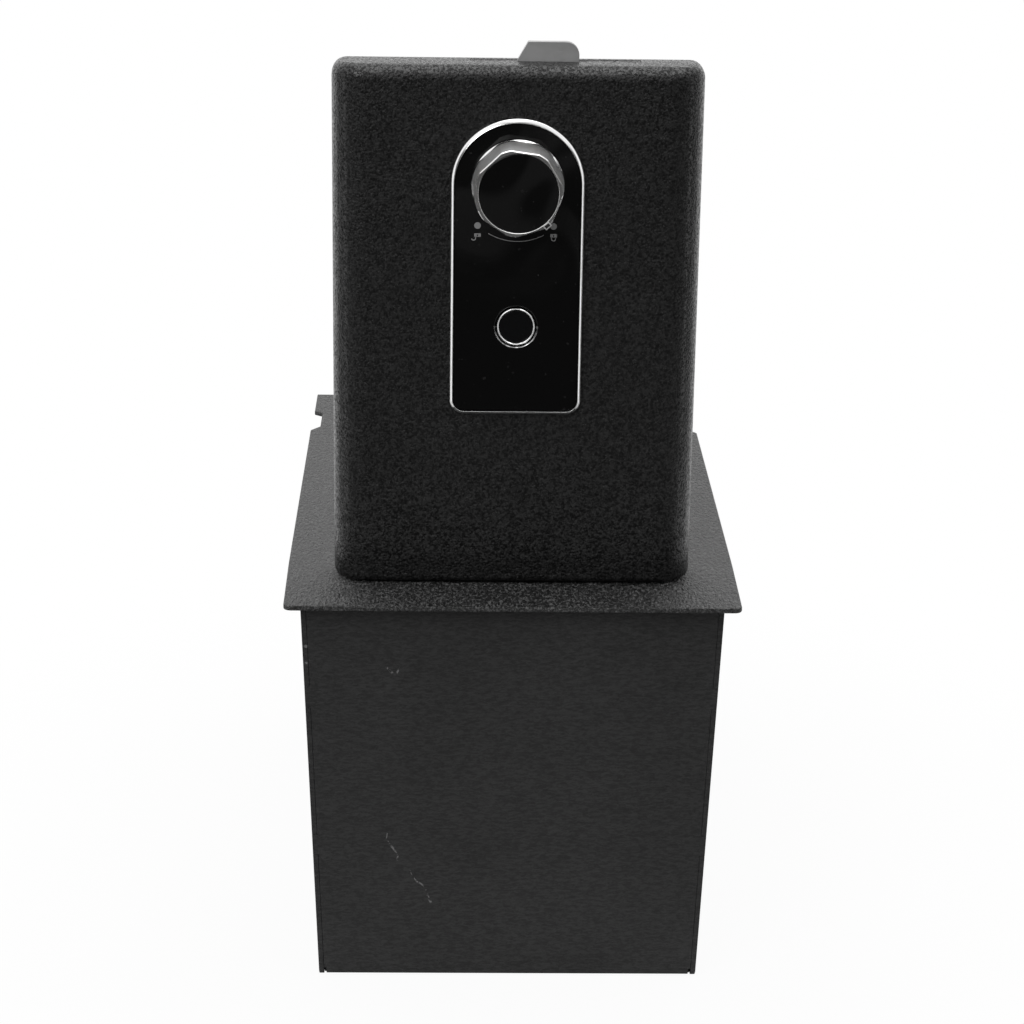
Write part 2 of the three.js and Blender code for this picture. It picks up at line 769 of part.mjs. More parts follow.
function lockFace() {
  const sheet = raised(arch(panelRimWidth + seamGap), faceBottom, faceTop);
  const bossTop = faceBottom + faceThickness / 3;
  const bosses = barsAtScrews(lockBossRadius, lidInside, bossTop);
  const threads = barsAtScrews(lockScrewRadius + runningGap, lidInside - 1, bossTop);
  const dish = turned([
    [0, faceTop - dishDepth],
    [sensorRadius + runningGap, faceTop - dishDepth],
    [dishRadius, faceTop],
    [dishRadius, faceTop + 1],
    [0, faceTop + 1],
  ], 0, sensorPlace);
  return cut(
    join(sheet, ...bosses),
    ...threads,
    dish,
    bar(bushRadius + runningGap, 0, knobPlace, faceBottom - 1, faceTop + 1),
    bar(sensorRadius + runningGap, 0, sensorPlace, faceBottom - 1, faceTop + 1),
  );
}

function sensorRing() {
  const inner = sensorRadius - sensorRingWidth;
  const top = faceTop + sensorRingProud;
  return turned([
    [inner, faceBottom],
    [sensorRadius, faceBottom],
    [sensorRadius, top - sensorRingProud],
    [sensorRadius - sensorRingWidth / 2, top],
    [inner, top - sensorRingProud],
    [inner, faceBottom],
  ], 0, sensorPlace);
}

function sensorWindow() {
  const top = faceTop - sensorWindowSink;
  const radius = sensorRadius - sensorRingWidth - seamGap;
  return bar(radius, 0, sensorPlace, top - sensorWindowThickness, top, 36);
}

function sensorBody() {
  const top = faceTop - sensorWindowSink - sensorWindowThickness;
  const can = bar(sensorBodyRadius, 0, sensorPlace, chassisBack + runningGap, top - seamGap);
  const plug = block(
    -sensorPlugWidth / 2,
    sensorPlugWidth / 2,
    sensorPlace - sensorPlugHeight / 2,
    sensorPlace + sensorPlugHeight / 2,
    boardTop + runningGap,
    chassisBack + 1,
  );
  return can.add(plug);
}

place(lid, 'lid_shell', lidShell(), 'texturedCoat');
place(lid, 'lock_gasket', lockGasket(), 'rubber');
place(lid, 'lock_rim', lockRim(), 'chrome');
place(lid, 'lock_face', lockFace(), 'glossBlack');
place(lid, 'sensor_ring', sensorRing(), 'chrome');
place(lid, 'sensor_window', sensorWindow(), 'glass');
place(lid, 'sensor_body', sensorBody(), 'mattBlack');

// The knob: a round base that runs up into seven flats, with a black disc let into its top
function knobShell() {
  const round = turned([
    [0, knobBottom],
    [knobBaseRadius, knobBottom],
    [knobBaseRadius, knobBottom + knobSkirtHeight],
    [knobTopRadius, knobTop - knobEdgeRound],
    [knobTopRadius - knobEdgeRound, knobTop],
    [0, knobTop],
  ], 0, knobPlace, 56);
  const flatShare = Math.cos(Math.PI / knobFlats);
  const taper = new THREE.CylinderGeometry(
    knobFlatTopApothem / flatShare,
    knobFlatBaseApothem / flatShare,
    knobHeight,
    knobFlats,
  );
  const firstFlat = THREE.MathUtils.degToRad(markerAngle) + Math.PI / 2;
  taper.rotateX(Math.PI / 2).rotateZ(firstFlat).translate(0, knobPlace, (knobBottom + knobTop) / 2);
  const recess = bar(insertRadius + seamGap, 0, knobPlace, knobTop - insertThickness, knobTop + 1, 48);
  const bore = bar(spindleRadius + runningGap, 0, knobPlace, knobBottom - 1, spindleTop + runningGap);
  const screwHole = setScrewBar(setScrewRadius + runningGap, knobBaseRadius);
  return cut(round.intersect(solid(taper)), recess, bore, screwHole);
}

function setScrewBar(radius, reach) {
  const start = spindleRadius + runningGap;
  const geometry = new THREE.CylinderGeometry(radius, radius, reach - start + 1, 16);
  const angle = THREE.MathUtils.degToRad(setScrewAngle);
  geometry.rotateZ(Math.PI / 2).translate((start + reach + 1) / 2, 0, 0).rotateZ(angle);
  return solid(geometry.translate(0, knobPlace, knobBottom + setScrewHeight));
}

function knobInsert() {
  const base = knobTop - insertThickness;
  return turned([
    [0, base],
    [insertRadius, base],
    [insertRadius, knobTop - insertProud],
    [insertRadius - 2 * insertProud, knobTop],
    [0, knobTop + insertProud],
  ], 0, knobPlace, 48);
}

function knobMarker() {
  const angle = THREE.MathUtils.degToRad(markerAngle);
  const geometry = new THREE.BoxGeometry(markerWidth, markerLength, markerHeight);
  geometry.translate(markerRadialPlace, 0, knobTop + markerHeight / 2).rotateZ(angle);
  return solid(geometry.translate(0, knobPlace, 0));
}

function spindle() {
  const half = spindleSquare / 2;
  const round = bar(spindleRadius, 0, knobPlace, squareTop, spindleTop);
  const low = camAboveRim + runningGap;
  const high = squareTop + squareRise / 2;
  const square = block(-half, half, knobPlace - half, knobPlace + half, low, high);
  const threadTop = camAboveRim + camScrewLength + 1;
  const thread = bar(camScrewShankRadius + runningGap, 0, knobPlace, 0, threadTop, 16);
  return cut(round.add(square), thread);
}

function spindleBush() {
  const bush = bar(bushRadius, 0, knobPlace, faceTop - bushLength, faceTop);
  return bush.subtract(bar(spindleRadius + runningGap, 0, knobPlace, 0, faceTop + 1));
}

function bushNut() {
  const corner = nutAcrossFlats / 2 / Math.cos(Math.PI / 6);
  const hex = bar(corner, 0, knobPlace, chassisBack - nutThickness, chassisBack, 6);
  return hex.subtract(bar(bushRadius + seamGap, 0, knobPlace, 0, lidDepth));
}

function lockDisc() {
  const disc = bar(discRadius, 0, knobPlace, discAboveRim, discAboveRim + discThickness, 36);
  const half = plungerRadius + notchGap;
  const inner = discRadius - plungerTravel;
  const low = discAboveRim - 1;
  const high = discAboveRim + discThickness + 1;
  const lockedNotch = block(-discRadius - 1, -inner, knobPlace - half, knobPlace + half, low, high);
  const openNotch = block(-half, half, knobPlace - discRadius - 1, knobPlace - inner, low, high);
  const bore = bar(spindleRadius + seamGap, 0, knobPlace, low, high);
  return cut(disc, lockedNotch, openNotch, bore);
}

// The cam: a flat arm whose end is the tongue that turns out through the slot in the lid's wall
function cam() {
  const arm = new THREE.Shape();
  arm.moveTo(-camEyeRadius * 0.9, knobPlace + camEyeRadius * 0.36);
  arm.lineTo(-camEyeRadius * 0.4, knobPlace - camEyeRadius * 0.6);
  arm.lineTo(camEyeRadius * 0.8, knobPlace - camEyeRadius * 0.6);
  arm.lineTo(tongueOuter, knobPlace + tongueReach * 0.5);
  arm.lineTo(tongueOuter, knobPlace + tongueReach - tongueCornerRadius);
  arm.absarc(
    tongueOuter - tongueCornerRadius,
    knobPlace + tongueReach - tongueCornerRadius,
    tongueCornerRadius,
    0,
    Math.PI / 2,
  );
  arm.lineTo(tongueInner + tongueSlantWidth, knobPlace + tongueReach);
  arm.lineTo(tongueInner, knobPlace + tongueReach - tongueSlantLength);
  arm.lineTo(tongueInner, knobPlace + tongueReach - tongueSlantLength - tongueEdgeLength);
  const half = spindleSquare / 2 + seamGap;
  return cut(
    join(raised(arm, camAboveRim, camTop), bar(camEyeRadius, 0, knobPlace, camAboveRim, camTop)),
    block(-half, half, knobPlace - half, knobPlace + half, 0, camTop + 1),
  );
}

function camWasher() {
  const bottom = camAboveRim - washerThickness;
  const washer = bar(washerRadius, 0, knobPlace, bottom, camAboveRim, 32);
  return washer.subtract(bar(camScrewShankRadius + runningGap, 0, knobPlace, 0, camAboveRim + 1, 16));
}

function camScrew() {
  const headTop = camAboveRim - washerThickness;
  const headBottom = headTop - camScrewHeadHeight;
  const screw = turned([
    [0, headBottom],
    [camScrewHeadRadius * 0.8, headBottom],
    [camScrewHeadRadius, headBottom + 0.5],
    [camScrewHeadRadius, headTop],
    [camScrewShankRadius, headTop],
    [camScrewShankRadius, headTop + camScrewLength],
    [0, headTop + camScrewLength],
  ], 0, knobPlace, 24);
  return screw.subtract(bar(camScrewHeadRadius * 0.4, 0, knobPlace, headBottom - 1, headBottom + 1, 6));
}

place(lid, 'knob_shell', knobShell(), 'chrome');
place(lid, 'knob_insert', knobInsert(), 'glossBlack');
place(lid, 'knob_marker', knobMarker(), 'chrome');
place(lid, 'knob_set_screw', setScrewBar(setScrewRadius, spindleRadius + setScrewLength), 'zincSteel');
place(lid, 'spindle', spindle(), 'zincSteel');
place(lid, 'spindle_bush', spindleBush(), 'brass');
place(lid, 'bush_nut', bushNut(), 'brass');
place(lid, 'lock_disc', lockDisc(), 'zincSteel');
place(lid, 'cam', cam(), 'zincSteel');
place(lid, 'cam_washer', camWasher(), 'zincSteel');
place(lid, 'cam_screw', camScrew(), 'zincSteel');

// The solenoid that blocks the notched disc, on a bent frame beside the spindle
function solenoidFrame() {
  const half = coilRadius + coilFrameMargin;
  const low = knobPlace - half;
  const high = knobPlace + half;
  const bottom = discMiddle - half;
  const frontEnd = coilFront + seamGap;
  const backEnd = coilBack - seamGap;
  const front = frontEnd + coilFrameSheet;
  const back = backEnd - coilFrameSheet;
  const base = block(back, front, low, high, lidInside - coilFrameSheet, lidInside);
  const frontWall = block(frontEnd, front, low, high, bottom, lidInside);
  const backWall = block(back, backEnd, low, high, bottom, lidInside);
  const bore = barAlongX(plungerRadius + runningGap, back - 1, front + 1, knobPlace, discMiddle);
  return cut(join(base, frontWall, backWall), bore);
}

function solenoidCoil() {
  const coil = barAlongX(coilRadius, coilBack, coilFront, knobPlace, discMiddle, 32);
  const boreRadius = plungerRadius + runningGap;
  return coil.subtract(barAlongX(boreRadius, coilBack - 1, coilFront + 1, knobPlace, discMiddle));
}

function solenoidPlunger() {
  return barAlongX(plungerRadius, plungerTip - plungerLength, plungerTip, knobPlace, discMiddle);
}

function solenoidLead() {
  const coilMiddle = (coilFront + coilBack) / 2;
  const end = knobPlace - coilRadius - runningGap;
  const start = caseTop + runningGap;
  const exitX = -caseHalfInside + 4;
  const route = new THREE.CatmullRomCurve3([
    new THREE.Vector3(exitX, start, discMiddle),
    new THREE.Vector3(exitX, start + 4, discMiddle),
    new THREE.Vector3((exitX + coilMiddle) / 2, (start + end) / 2, discMiddle + 2),
    new THREE.Vector3(coilMiddle, end - 4, discMiddle),
    new THREE.Vector3(coilMiddle, end, discMiddle),
  ]);
  const section = new THREE.Shape();
  section.absarc(0, 0, leadRadius, 0, 2 * Math.PI);
  const settings = { steps: 16, curveSegments: 4, bevelEnabled: false, extrudePath: route };
  return solid(new THREE.ExtrudeGeometry(section, settings));
}

place(lid, 'solenoid_frame', solenoidFrame(), 'zincSteel');
place(lid, 'solenoid_coil', solenoidCoil(), 'copper');
place(lid, 'solenoid_plunger', solenoidPlunger(), 'zincSteel');
place(lid, 'solenoid_lead', solenoidLead(), 'rubber');

// Behind the lock: the clamp plate, the battery case with its board, cells and sliding cover
function clampPlate() {
  const half = chassisWidth / 2;
  const wide = half + chassisFlare;
  const top = knobPlace + lockScrewTopStep + chassisMargin;
  const foot = lockScrewBottomPlace - lockScrewHeadRadius - slotGap;
  const outline = roundedRectangle(-wide, wide, foot, top, chassisFlare);
  const trims = [-1, 1].map((side) => block(
    Math.min(side * half, side * lidWidth),
    Math.max(side * half, side * lidWidth),
    lockScrewBottomPlace + lockScrewHeadRadius + chassisFlare,
    lidLength,
    chassisBack - 1,
    lidInside + 1,
  ));
  const plate = raised(outline, chassisBack, lidInside);
  return cut(plate, ...trims, ...panelHoles(lockScrewRadius, chassisBack - 1, lidInside + 1));
}

function lockScrew(x, y) {
  const headBack = chassisBack - lockScrewHeadHeight;
  return turned([
    [0, headBack],
    [lockScrewHeadRadius * 0.7, headBack],
    [lockScrewHeadRadius, headBack + 0.6],
    [lockScrewHeadRadius, chassisBack],
    [lockScrewRadius, chassisBack],
    [lockScrewRadius, faceBottom],
    [0, faceBottom],
  ], x, y, 16);
}

function batteryCase() {
  const half = caseHalfInside + caseWall;
  const shell = block(-half, half, caseBottom, caseTop, caseBack, chassisBack);
  const room = block(
    -caseHalfInside,
    caseHalfInside,
    caseBottom + caseWall,
    caseTop - caseWall,
    coverTop - 1,
    caseFloor,
  );
  const coverRoom = block(
    -caseHalfInside,
    caseHalfInside,
    caseBottom - 1,
    caseTop - caseWall,
    coverBack - runningGap,
    coverTop + runningGap / 2,
  );
  const mouth = block(
    -caseHalfInside + caseLipWidth,
    caseHalfInside - caseLipWidth,
    caseBottom - 1,
    caseTop - caseWall,
    caseBack - 1,
    coverTop,
  );
  const plugHole = block(
    -sensorPlugWidth / 2 - slotGap,
    sensorPlugWidth / 2 + slotGap,
    sensorPlace - sensorPlugHeight / 2 - slotGap,
    sensorPlace + sensorPlugHeight / 2 + slotGap,
    caseFloor - 1,
    chassisBack + 1,
  );
  return cut(shell, room, coverRoom, mouth, plugHole);
}

function batteryCover() {
  const half = caseHalfInside - runningGap;
  const end = caseTop - caseWall - runningGap;
  const plate = block(-half, half, caseBottom, end, coverBack, coverTop);
  const side = coverRibLength / 2;
  const ribBack = coverBack - coverRibHeight;
  const ribRoot = coverBack + coverThickness / 3;
  const ribs = Array.from({ length: coverRibCount }, (_, index) => {
    const y = caseBottom + coverRibStart + index * coverRibPitch;
    return block(-side, side, y, y + coverRibWidth, ribBack, ribRoot);
  });
  return join(plate, ...ribs);
}

function circuitBoard() {
  const half = caseHalfInside - runningGap;
  const start = caseBottom + caseWall + runningGap;
  return block(-half, half, start, start + boardLength, boardBack, boardTop);
}

function battery(index) {
  const x = (index - (batteryCount - 1) / 2) * batteryPitch;
  const up = index % 2 === 0;
  const start = batteryPlace;
  const end = batteryPlace + batteryLength;
  const can = [[0, 0], [batteryRadius - batteryEdge, 0], [batteryRadius, batteryEdge]];
  const tip = [
    [batteryRadius, batteryLength - batteryTipLength - batteryEdge],
    [batteryRadius - batteryEdge, batteryLength - batteryTipLength],
    [batteryTipRadius, batteryLength - batteryTipLength],
    [batteryTipRadius, batteryLength],
    [0, batteryLength],
  ];
  const points = [...can, ...tip].map(([radius, height]) => new THREE.Vector2(radius, height));
  const geometry = new THREE.LatheGeometry(points, 28);
  if (!up) {
    geometry.rotateZ(Math.PI);
  }
  return solid(geometry.translate(x, up ? start : end, batteryAxis));
}

function batteryContact(y0) {
  const half = ((batteryCount - 1) * batteryPitch) / 2 + batteryRadius * contactReach;
  return block(
    -half,
    half,
    y0,
    y0 + contactThickness,
    batteryAxis - batteryRadius * contactReach,
    boardBack - runningGap,
  );
}

place(lid, 'clamp_plate', clampPlate(), 'zincSteel');
lockScrewPlaces().forEach(([x, y], index) => {
  place(lid, `lock_screw_${index + 1}`, lockScrew(x, y), 'zincSteel');
});
place(lid, 'battery_case', batteryCase(), 'mattBlack');
place(lid, 'battery_cover', batteryCover(), 'mattBlack');
place(lid, 'circuit_board', circuitBoard(), 'board');
for (let index = 0; index < batteryCount; index += 1) {
  place(lid, `battery_${index + 1}`, battery(index), 'cell');
}
place(lid, 'contact_lower', batteryContact(batteryPlace - runningGap - contactThickness), 'zincSteel');
place(lid, 'contact_upper', batteryContact(batteryPlace + batteryLength + runningGap), 'zincSteel');

export default safe;
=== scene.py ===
import math

import bmesh
import bpy
from mathutils import Matrix, Vector
from mathutils import noise as turbulence


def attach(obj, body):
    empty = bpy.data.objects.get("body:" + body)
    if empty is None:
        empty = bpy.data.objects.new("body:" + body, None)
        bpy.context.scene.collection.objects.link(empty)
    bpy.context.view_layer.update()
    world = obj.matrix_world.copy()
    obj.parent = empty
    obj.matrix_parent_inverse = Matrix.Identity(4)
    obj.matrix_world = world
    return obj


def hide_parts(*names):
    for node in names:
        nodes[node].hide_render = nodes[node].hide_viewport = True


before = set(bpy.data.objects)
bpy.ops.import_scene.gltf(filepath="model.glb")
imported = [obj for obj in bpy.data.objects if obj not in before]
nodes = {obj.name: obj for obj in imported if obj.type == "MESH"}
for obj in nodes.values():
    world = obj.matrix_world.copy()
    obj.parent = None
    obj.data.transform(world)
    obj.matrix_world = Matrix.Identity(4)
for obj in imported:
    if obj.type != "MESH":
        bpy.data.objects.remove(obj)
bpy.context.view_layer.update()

# Camera. It stands a good metre in front of the safe, a little to the left and above the lid,
# and looks slightly down, so that the plate and the lid's upper edge show as thin bright bands.
camera_place = Vector((-0.02455, -1.17137, 0.54922))
camera_turn = -0.0229
camera_dip = 0.3269
camera_roll = -0.0146
camera_lens = 100.33
camera_sensor = 36.0
camera_near = 0.05

straight_up = Vector((0.0, 0.0, 1.0))
level = Vector((math.cos(camera_turn), math.sin(camera_turn), 0.0))
ahead = Vector((-math.sin(camera_turn), math.cos(camera_turn), 0.0))
line_of_sight = math.cos(camera_dip) * ahead - math.sin(camera_dip) * straight_up
upright = math.sin(camera_dip) * ahead + math.cos(camera_dip) * straight_up
image_right = math.cos(camera_roll) * level - math.sin(camera_roll) * upright
image_up = math.sin(camera_roll) * level + math.cos(camera_roll) * upright
camera_axes = Matrix((image_right, image_up, -line_of_sight)).transposed().to_4x4()

camera_data = bpy.data.cameras.new("camera")
camera_data.lens = camera_lens
camera_data.sensor_width = camera_sensor
camera_data.clip_start = camera_near
camera = bpy.data.objects.new("camera", camera_data)
camera.matrix_world = Matrix.Translation(camera_place) @ camera_axes
bpy.context.scene.collection.objects.link(camera)
bpy.context.scene.camera = camera
bpy.context.scene.view_settings.view_transform = "Standard"


# Studio. The safe stands on a round table top, greyer in front, in a room that is white behind it
# and above it, with a bright card at each side for the chrome, and dim behind the camera, so that
# the black face mirrors little and the upper edges shine.
table_radius = 0.62
table_drop = 0.0002
table_sides = 128
table_white = (0.70, 0.70, 0.70, 1.0)
table_grey = (0.30, 0.30, 0.30, 1.0)
grey_until = -0.35
middle_paleness = 0.95
halo_start = 0.22 * table_radius
halo_end = 0.60 * table_radius
white = (1.0, 1.0, 1.0, 1.0)
dim_room = 0.09
backdrop_edge = (0.20, 0.65)
ceiling_edge = (0.25, 0.50)
ceiling_front = (-0.80, -0.50)
card_depths = (-0.28, -0.12)
card_depth_edge = 0.03
card_heights = (-0.45, 0.42)
card_height_edge = 0.10
card_lean = 0.25
lamp_target = (0.0, 0.0, 0.2)


class Signal:
    """A socket in a tree of nodes. Sums, differences, products and quotients add Math nodes."""

    def __init__(self, tree, socket=None):
        self.tree = tree
        self.socket = socket

    def node(self, kind, settings=None, inputs=None, output=0):
        """One node of a kind, with its settings first and then the values or links of its inputs."""
        node = self.tree.nodes.new(kind)
        for name, value in (settings or {}).items():
            setattr(node, name, value)
        for name, value in (inputs or {}).items():
            if isinstance(value, Signal):
                self.tree.links.new(value.socket, node.inputs[name])
            else:
                node.inputs[name].default_value = value
        return Signal(self.tree, None if output is None else node.outputs[output])

    def math(self, operation, first, second=0.0):
        return self.node("ShaderNodeMath", {"operation": operation}, {0: first, 1: second})

    def __add__(self, other):
        return self.math("ADD", self, other)

    def __radd__(self, other):
        return self.math("ADD", other, self)

    def __sub__(self, other):
        return self.math("SUBTRACT", self, other)

    def __rsub__(self, other):
        return self.math("SUBTRACT", other, self)

    def __mul__(self, other):
        return self.math("MULTIPLY", self, other)

    def __rmul__(self, other):
        return self.math("MULTIPLY", other, self)

    def __truediv__(self, other):
        return self.math("DIVIDE", self, other)

    def __rtruediv__(self, other):
        return self.math("DIVIDE", other, self)

    def larger(self, other):
        return self.math("MAXIMUM", self, other)

    def smaller(self, other):
        return self.math("MINIMUM", self, other)

    def rise(self, low, high):
        """0 below low, 1 above high, and a smooth step between them."""
        settings = {"interpolation_type": "SMOOTHSTEP"}
        inputs = {"Value": self, "From Min": low, "From Max": high}
        return self.node("ShaderNodeMapRange", settings, inputs)

    def axis(self, name):
        return self.node("ShaderNodeSeparateXYZ", None, {"Vector": self}, name)


def between(signal, low, high, edge):
    """1 where a signal lies between two values, with soft edges."""
    return signal.rise(low - edge, low) * (1.0 - signal.rise(high, high + edge))


def blend(start, mask, first, second):
    """A colour that runs from the first to the second with the mask."""
    return start.node("ShaderNodeMix", {"data_type": "RGBA"}, {0: mask, 6: first, 7: second}, 2)


def new_surface(name):
    material = bpy.data.materials.new(name)
    material.use_nodes = True
    material.node_tree.nodes.clear()
    return material, Signal(material.node_tree)


def mesh_object(name, form, smooth=False):
    """A new object from a mesh under construction."""
    mesh = bpy.data.meshes.new(name)
    form.to_mesh(mesh)
    form.free()
    if smooth:
        mesh.shade_smooth()
    made = bpy.data.objects.new(name, mesh)
    bpy.context.scene.collection.objects.link(made)
    return made


def table_top():
    form = bmesh.new()
    bmesh.ops.create_circle(form, cap_ends=True, segments=table_sides, radius=table_radius)
    bmesh.ops.translate(form, verts=form.verts, vec=(0.0, 0.0, -table_drop))
    return mesh_object("table_top", form)


def table_finish():
    material, start = new_surface("pale_table")
    place = start.node("ShaderNodeTexCoord", output="Object")
    radius = start.node("ShaderNodeVectorMath", {"operation": "LENGTH"}, {0: place}, "Value")
    to_camera = start.node("ShaderNodeLightPath", output="Is Camera Ray")
    paleness = middle_paleness + (1.0 - middle_paleness) * radius.rise(halo_start, halo_end)
    colour = blend(start, place.axis("Y").rise(grey_until, 0.0), table_grey, table_white)
    lit = start.node("ShaderNodeBsdfDiffuse", None, {"Color": colour})
    plain = start.node("ShaderNodeEmission", None, {"Color": white, "Strength": 1.0})
    mixed = start.node("ShaderNodeMixShader", None, {0: to_camera * paleness, 1: lit, 2: plain})
    start.node("ShaderNodeOutputMaterial", None, {"Surface": mixed}, None)
    return material


def room_light():
    world = bpy.data.worlds.new("studio")
    bpy.context.scene.world = world
    world.use_nodes = True
    world.node_tree.nodes.clear()
    start = Signal(world.node_tree)
    direction = start.node("ShaderNodeTexCoord", output="Generated")
    depth = direction.axis("Y")
    height = direction.axis("Z")
    backdrop = depth.rise(*backdrop_edge)
    ceiling = height.rise(*ceiling_edge) * depth.rise(*ceiling_front)
    side_cards = between(depth + card_lean * height, *card_depths, card_depth_edge)
    side_cards = side_cards * between(height, *card_heights, card_height_edge)
    room = dim_room + (1.0 - dim_room) * backdrop.larger(ceiling).larger(side_cards)
    to_camera = start.node("ShaderNodeLightPath", output="Is Camera Ray")
    strength = room.larger(to_camera)
    glow = start.node("ShaderNodeBackground", None, {"Color": white, "Strength": strength})
    start.node("ShaderNodeOutputWorld", None, {"Surface": glow}, None)


def soft_lamp(name, place, size, power):
    """A square lamp that is aimed at the middle of the safe."""
    data = bpy.data.lights.new(name, "AREA")
    data.shape = "RECTANGLE"
    data.size = size
    data.size_y = size
    data.energy = power
    lamp = bpy.data.objects.new(name, data)
    lamp.location = place
    lamp.rotation_euler = (Vector(lamp_target) - Vector(place)).to_track_quat("-Z", "Y").to_euler()
    bpy.context.scene.collection.objects.link(lamp)


table = table_top()
table.data.materials.append(table_finish())
room_light()
soft_lamp("overhead_lamp", (0.1, -0.15, 1.7), size=1.4, power=8.0)
soft_lamp("front_lamp", (-0.9, -1.5, 1.3), size=1.0, power=12.0)


# The box. 2 mm steel: one sheet bent round for the front, the floor and the rear, and two leaning
# side panels tabbed and welded into it, under a satin powder coat whose orange peel is drawn out
# sideways. Its front has two fine scratches and a scuff, and the left panel's edge is chipped.
coat_grey = 0.0195
coat_roughness = 0.50
bare_grey = 0.17
box_front = -0.1366
box_front_room = 0.0016
scratch_overrun = 0.06
scratch_taper = 0.03
# Each scratch has its first and last point, across and up the front, and its width.
scratches = [
    ((-0.0485, 0.0635), (-0.0489, 0.0604), 0.00030),
    ((-0.0489, 0.0604), (-0.0449, 0.0547), 0.00055),
    ((-0.0449, 0.0547), (-0.0443, 0.0508), 0.00070),
    ((-0.0397, 0.0473), (-0.0373, 0.0429), 0.00025),
    ((-0.0373, 0.0429), (-0.0337, 0.0398), 0.00050),
    ((-0.0337, 0.0398), (-0.0313, 0.0327), 0.00060),
    ((-0.0486, 0.1340), (-0.0454, 0.1311), 0.00060),
    ((-0.0454, 0.1311), (-0.0432, 0.1345), 0.00050),
]
chips = [(-0.0803, 0.1426, 0.0009), (-0.0800, 0.1359, 0.0007)]
sharp_angle = 32.0
flat_angle = 0.4
weld_distance = 0.000005
face_weight = 60


def round_edges(piece, edge, segments=2, angle=sharp_angle):
    """Rounds the edges that are sharper than an angle and evens the shading over them."""
    bevel = piece.modifiers.new("round", "BEVEL")
    bevel.width = edge
    bevel.segments = segments
    bevel.limit_method = "ANGLE"
    bevel.angle_limit = math.radians(angle)
    even = piece.modifiers.new("even", "WEIGHTED_NORMAL")
    even.keep_sharp = True
    return piece


def dress(node, material, edge, segments=2):
    """Merges a CAD solid's flat faces, rounds its sharp edges and gives it its material."""
    piece = nodes[node]
    piece.data.shade_smooth()
    weld = piece.modifiers.new("weld", "WELD")
    weld.merge_threshold = weld_distance
    flat = piece.modifiers.new("flat", "DECIMATE")
    flat.decimate_type = "DISSOLVE"
    flat.angle_limit = math.radians(flat_angle)
    round_edges(piece, edge, segments)
    piece.modifiers["even"].weight = face_weight
    piece.data.materials.clear()
    piece.data.materials.append(material)


def on_object(start, stretch=(1.0, 1.0, 1.0)):
    place = start.node("ShaderNodeTexCoord", output="Object")
    return start.node("ShaderNodeMapping", None, {"Vector": place, "Scale": stretch})


def noise(start, where, scale, detail, roughness=0.55, distortion=0.0):
    inputs = {
        "Vector": where,
        "Scale": scale,
        "Detail": detail,
        "Roughness": roughness,
        "Distortion": distortion,
    }
    return start.node("ShaderNodeTexNoise", None, inputs)


def bump(start, height, distance, strength):
    inputs = {"Height": height, "Distance": distance, "Strength": strength}
    return start.node("ShaderNodeBump", None, inputs)


def shade(grey, tint=(1.0, 1.0, 1.0)):
    return (grey * tint[0], grey * tint[1], grey * tint[2], 1.0)


def finish(start, inputs):
    shader = start.node("ShaderNodeBsdfPrincipled", None, inputs)
    start.node("ShaderNodeOutputMaterial", None, {"Surface": shader}, None)


def scratch_mask(start, x, z, first, last, width):
    """1 on a fine line between two points of the box's front."""
    run_x = last[0] - first[0]
    run_z = last[1] - first[1]
    length = math.hypot(run_x, run_z)
    along = ((x - first[0]) * (run_x / length) + (z - first[1]) * (run_z / length)) / length
    across = (x - first[0]) * (-run_z / length) + (z - first[1]) * (run_x / length)
    off = start.math("ABSOLUTE", across)
    after_first = along.rise(-scratch_overrun, scratch_taper)
    before_last = 1.0 - along.rise(1.0 - scratch_taper, 1.0 + scratch_overrun)
    return after_first * before_last * (1.0 - off.rise(0.25 * width, width))


def box_coat():
    material, start = new_surface("box_coat")
    place = on_object(start)
    ripple_place = on_object(start, (1.0, 1.0, 3.0))
    ripples = noise(start, ripple_place, 360.0, detail=3.0, roughness=0.6, distortion=0.5)
    peel = noise(start, on_object(start, (1.0, 1.0, 1.8)), 1000.0, detail=2.0)
    clouds = noise(start, place, 22.0, detail=3.0)
    crackle = noise(start, place, 1700.0, detail=2.0)
    wander = 0.0012 * (noise(start, place, 260.0, detail=2.0) - 0.5)
    x = place.axis("X") + wander
    z = place.axis("Z") + wander
    worn = 0.0
    for first, last, width in scratches:
        worn = scratch_mask(start, x, z, first, last, width) + worn
    breaks = noise(start, place, 850.0, detail=2.0)
    worn = worn * breaks.rise(0.46, 0.56)
    for chip_x, chip_z, radius in chips:
        off_x = x - chip_x
        off_z = z - chip_z
        worn = worn + (1.0 - (off_x * off_x + off_z * off_z).rise(0.2 * radius ** 2, radius ** 2))
    at_front = 1.0 - place.axis("Y").rise(box_front, box_front + box_front_room)
    worn = (worn * at_front).smaller(1.0)
    flecks = 0.5 * crackle.rise(0.70, 0.80)
    deep = blend(start, clouds.rise(0.3, 0.7), shade(0.42 * coat_grey), shade(0.60 * coat_grey))
    high = blend(start, clouds.rise(0.3, 0.7), shade(1.35 * coat_grey), shade(1.65 * coat_grey))
    base = blend(start, (0.7 * ripples + 0.3 * peel).rise(0.36, 0.64), deep, high)
    flecked = blend(start, flecks, base, shade(2.6 * coat_grey))
    colour = blend(start, worn, flecked, shade(bare_grey))
    height = ripples + 0.22 * peel - 0.3 * worn
    rough = coat_roughness + 0.14 * (peel - 0.5) - 0.08 * worn
    normal = bump(start, height, distance=0.00034, strength=0.9)
    finish(start, {"Base Color": colour, "Roughness": rough, "Normal": normal})
    return material


box_finish = box_coat()
for name in ("body_wrap", "side_panel_left", "side_panel_right"):
    dress(name, box_finish, edge=0.00015)


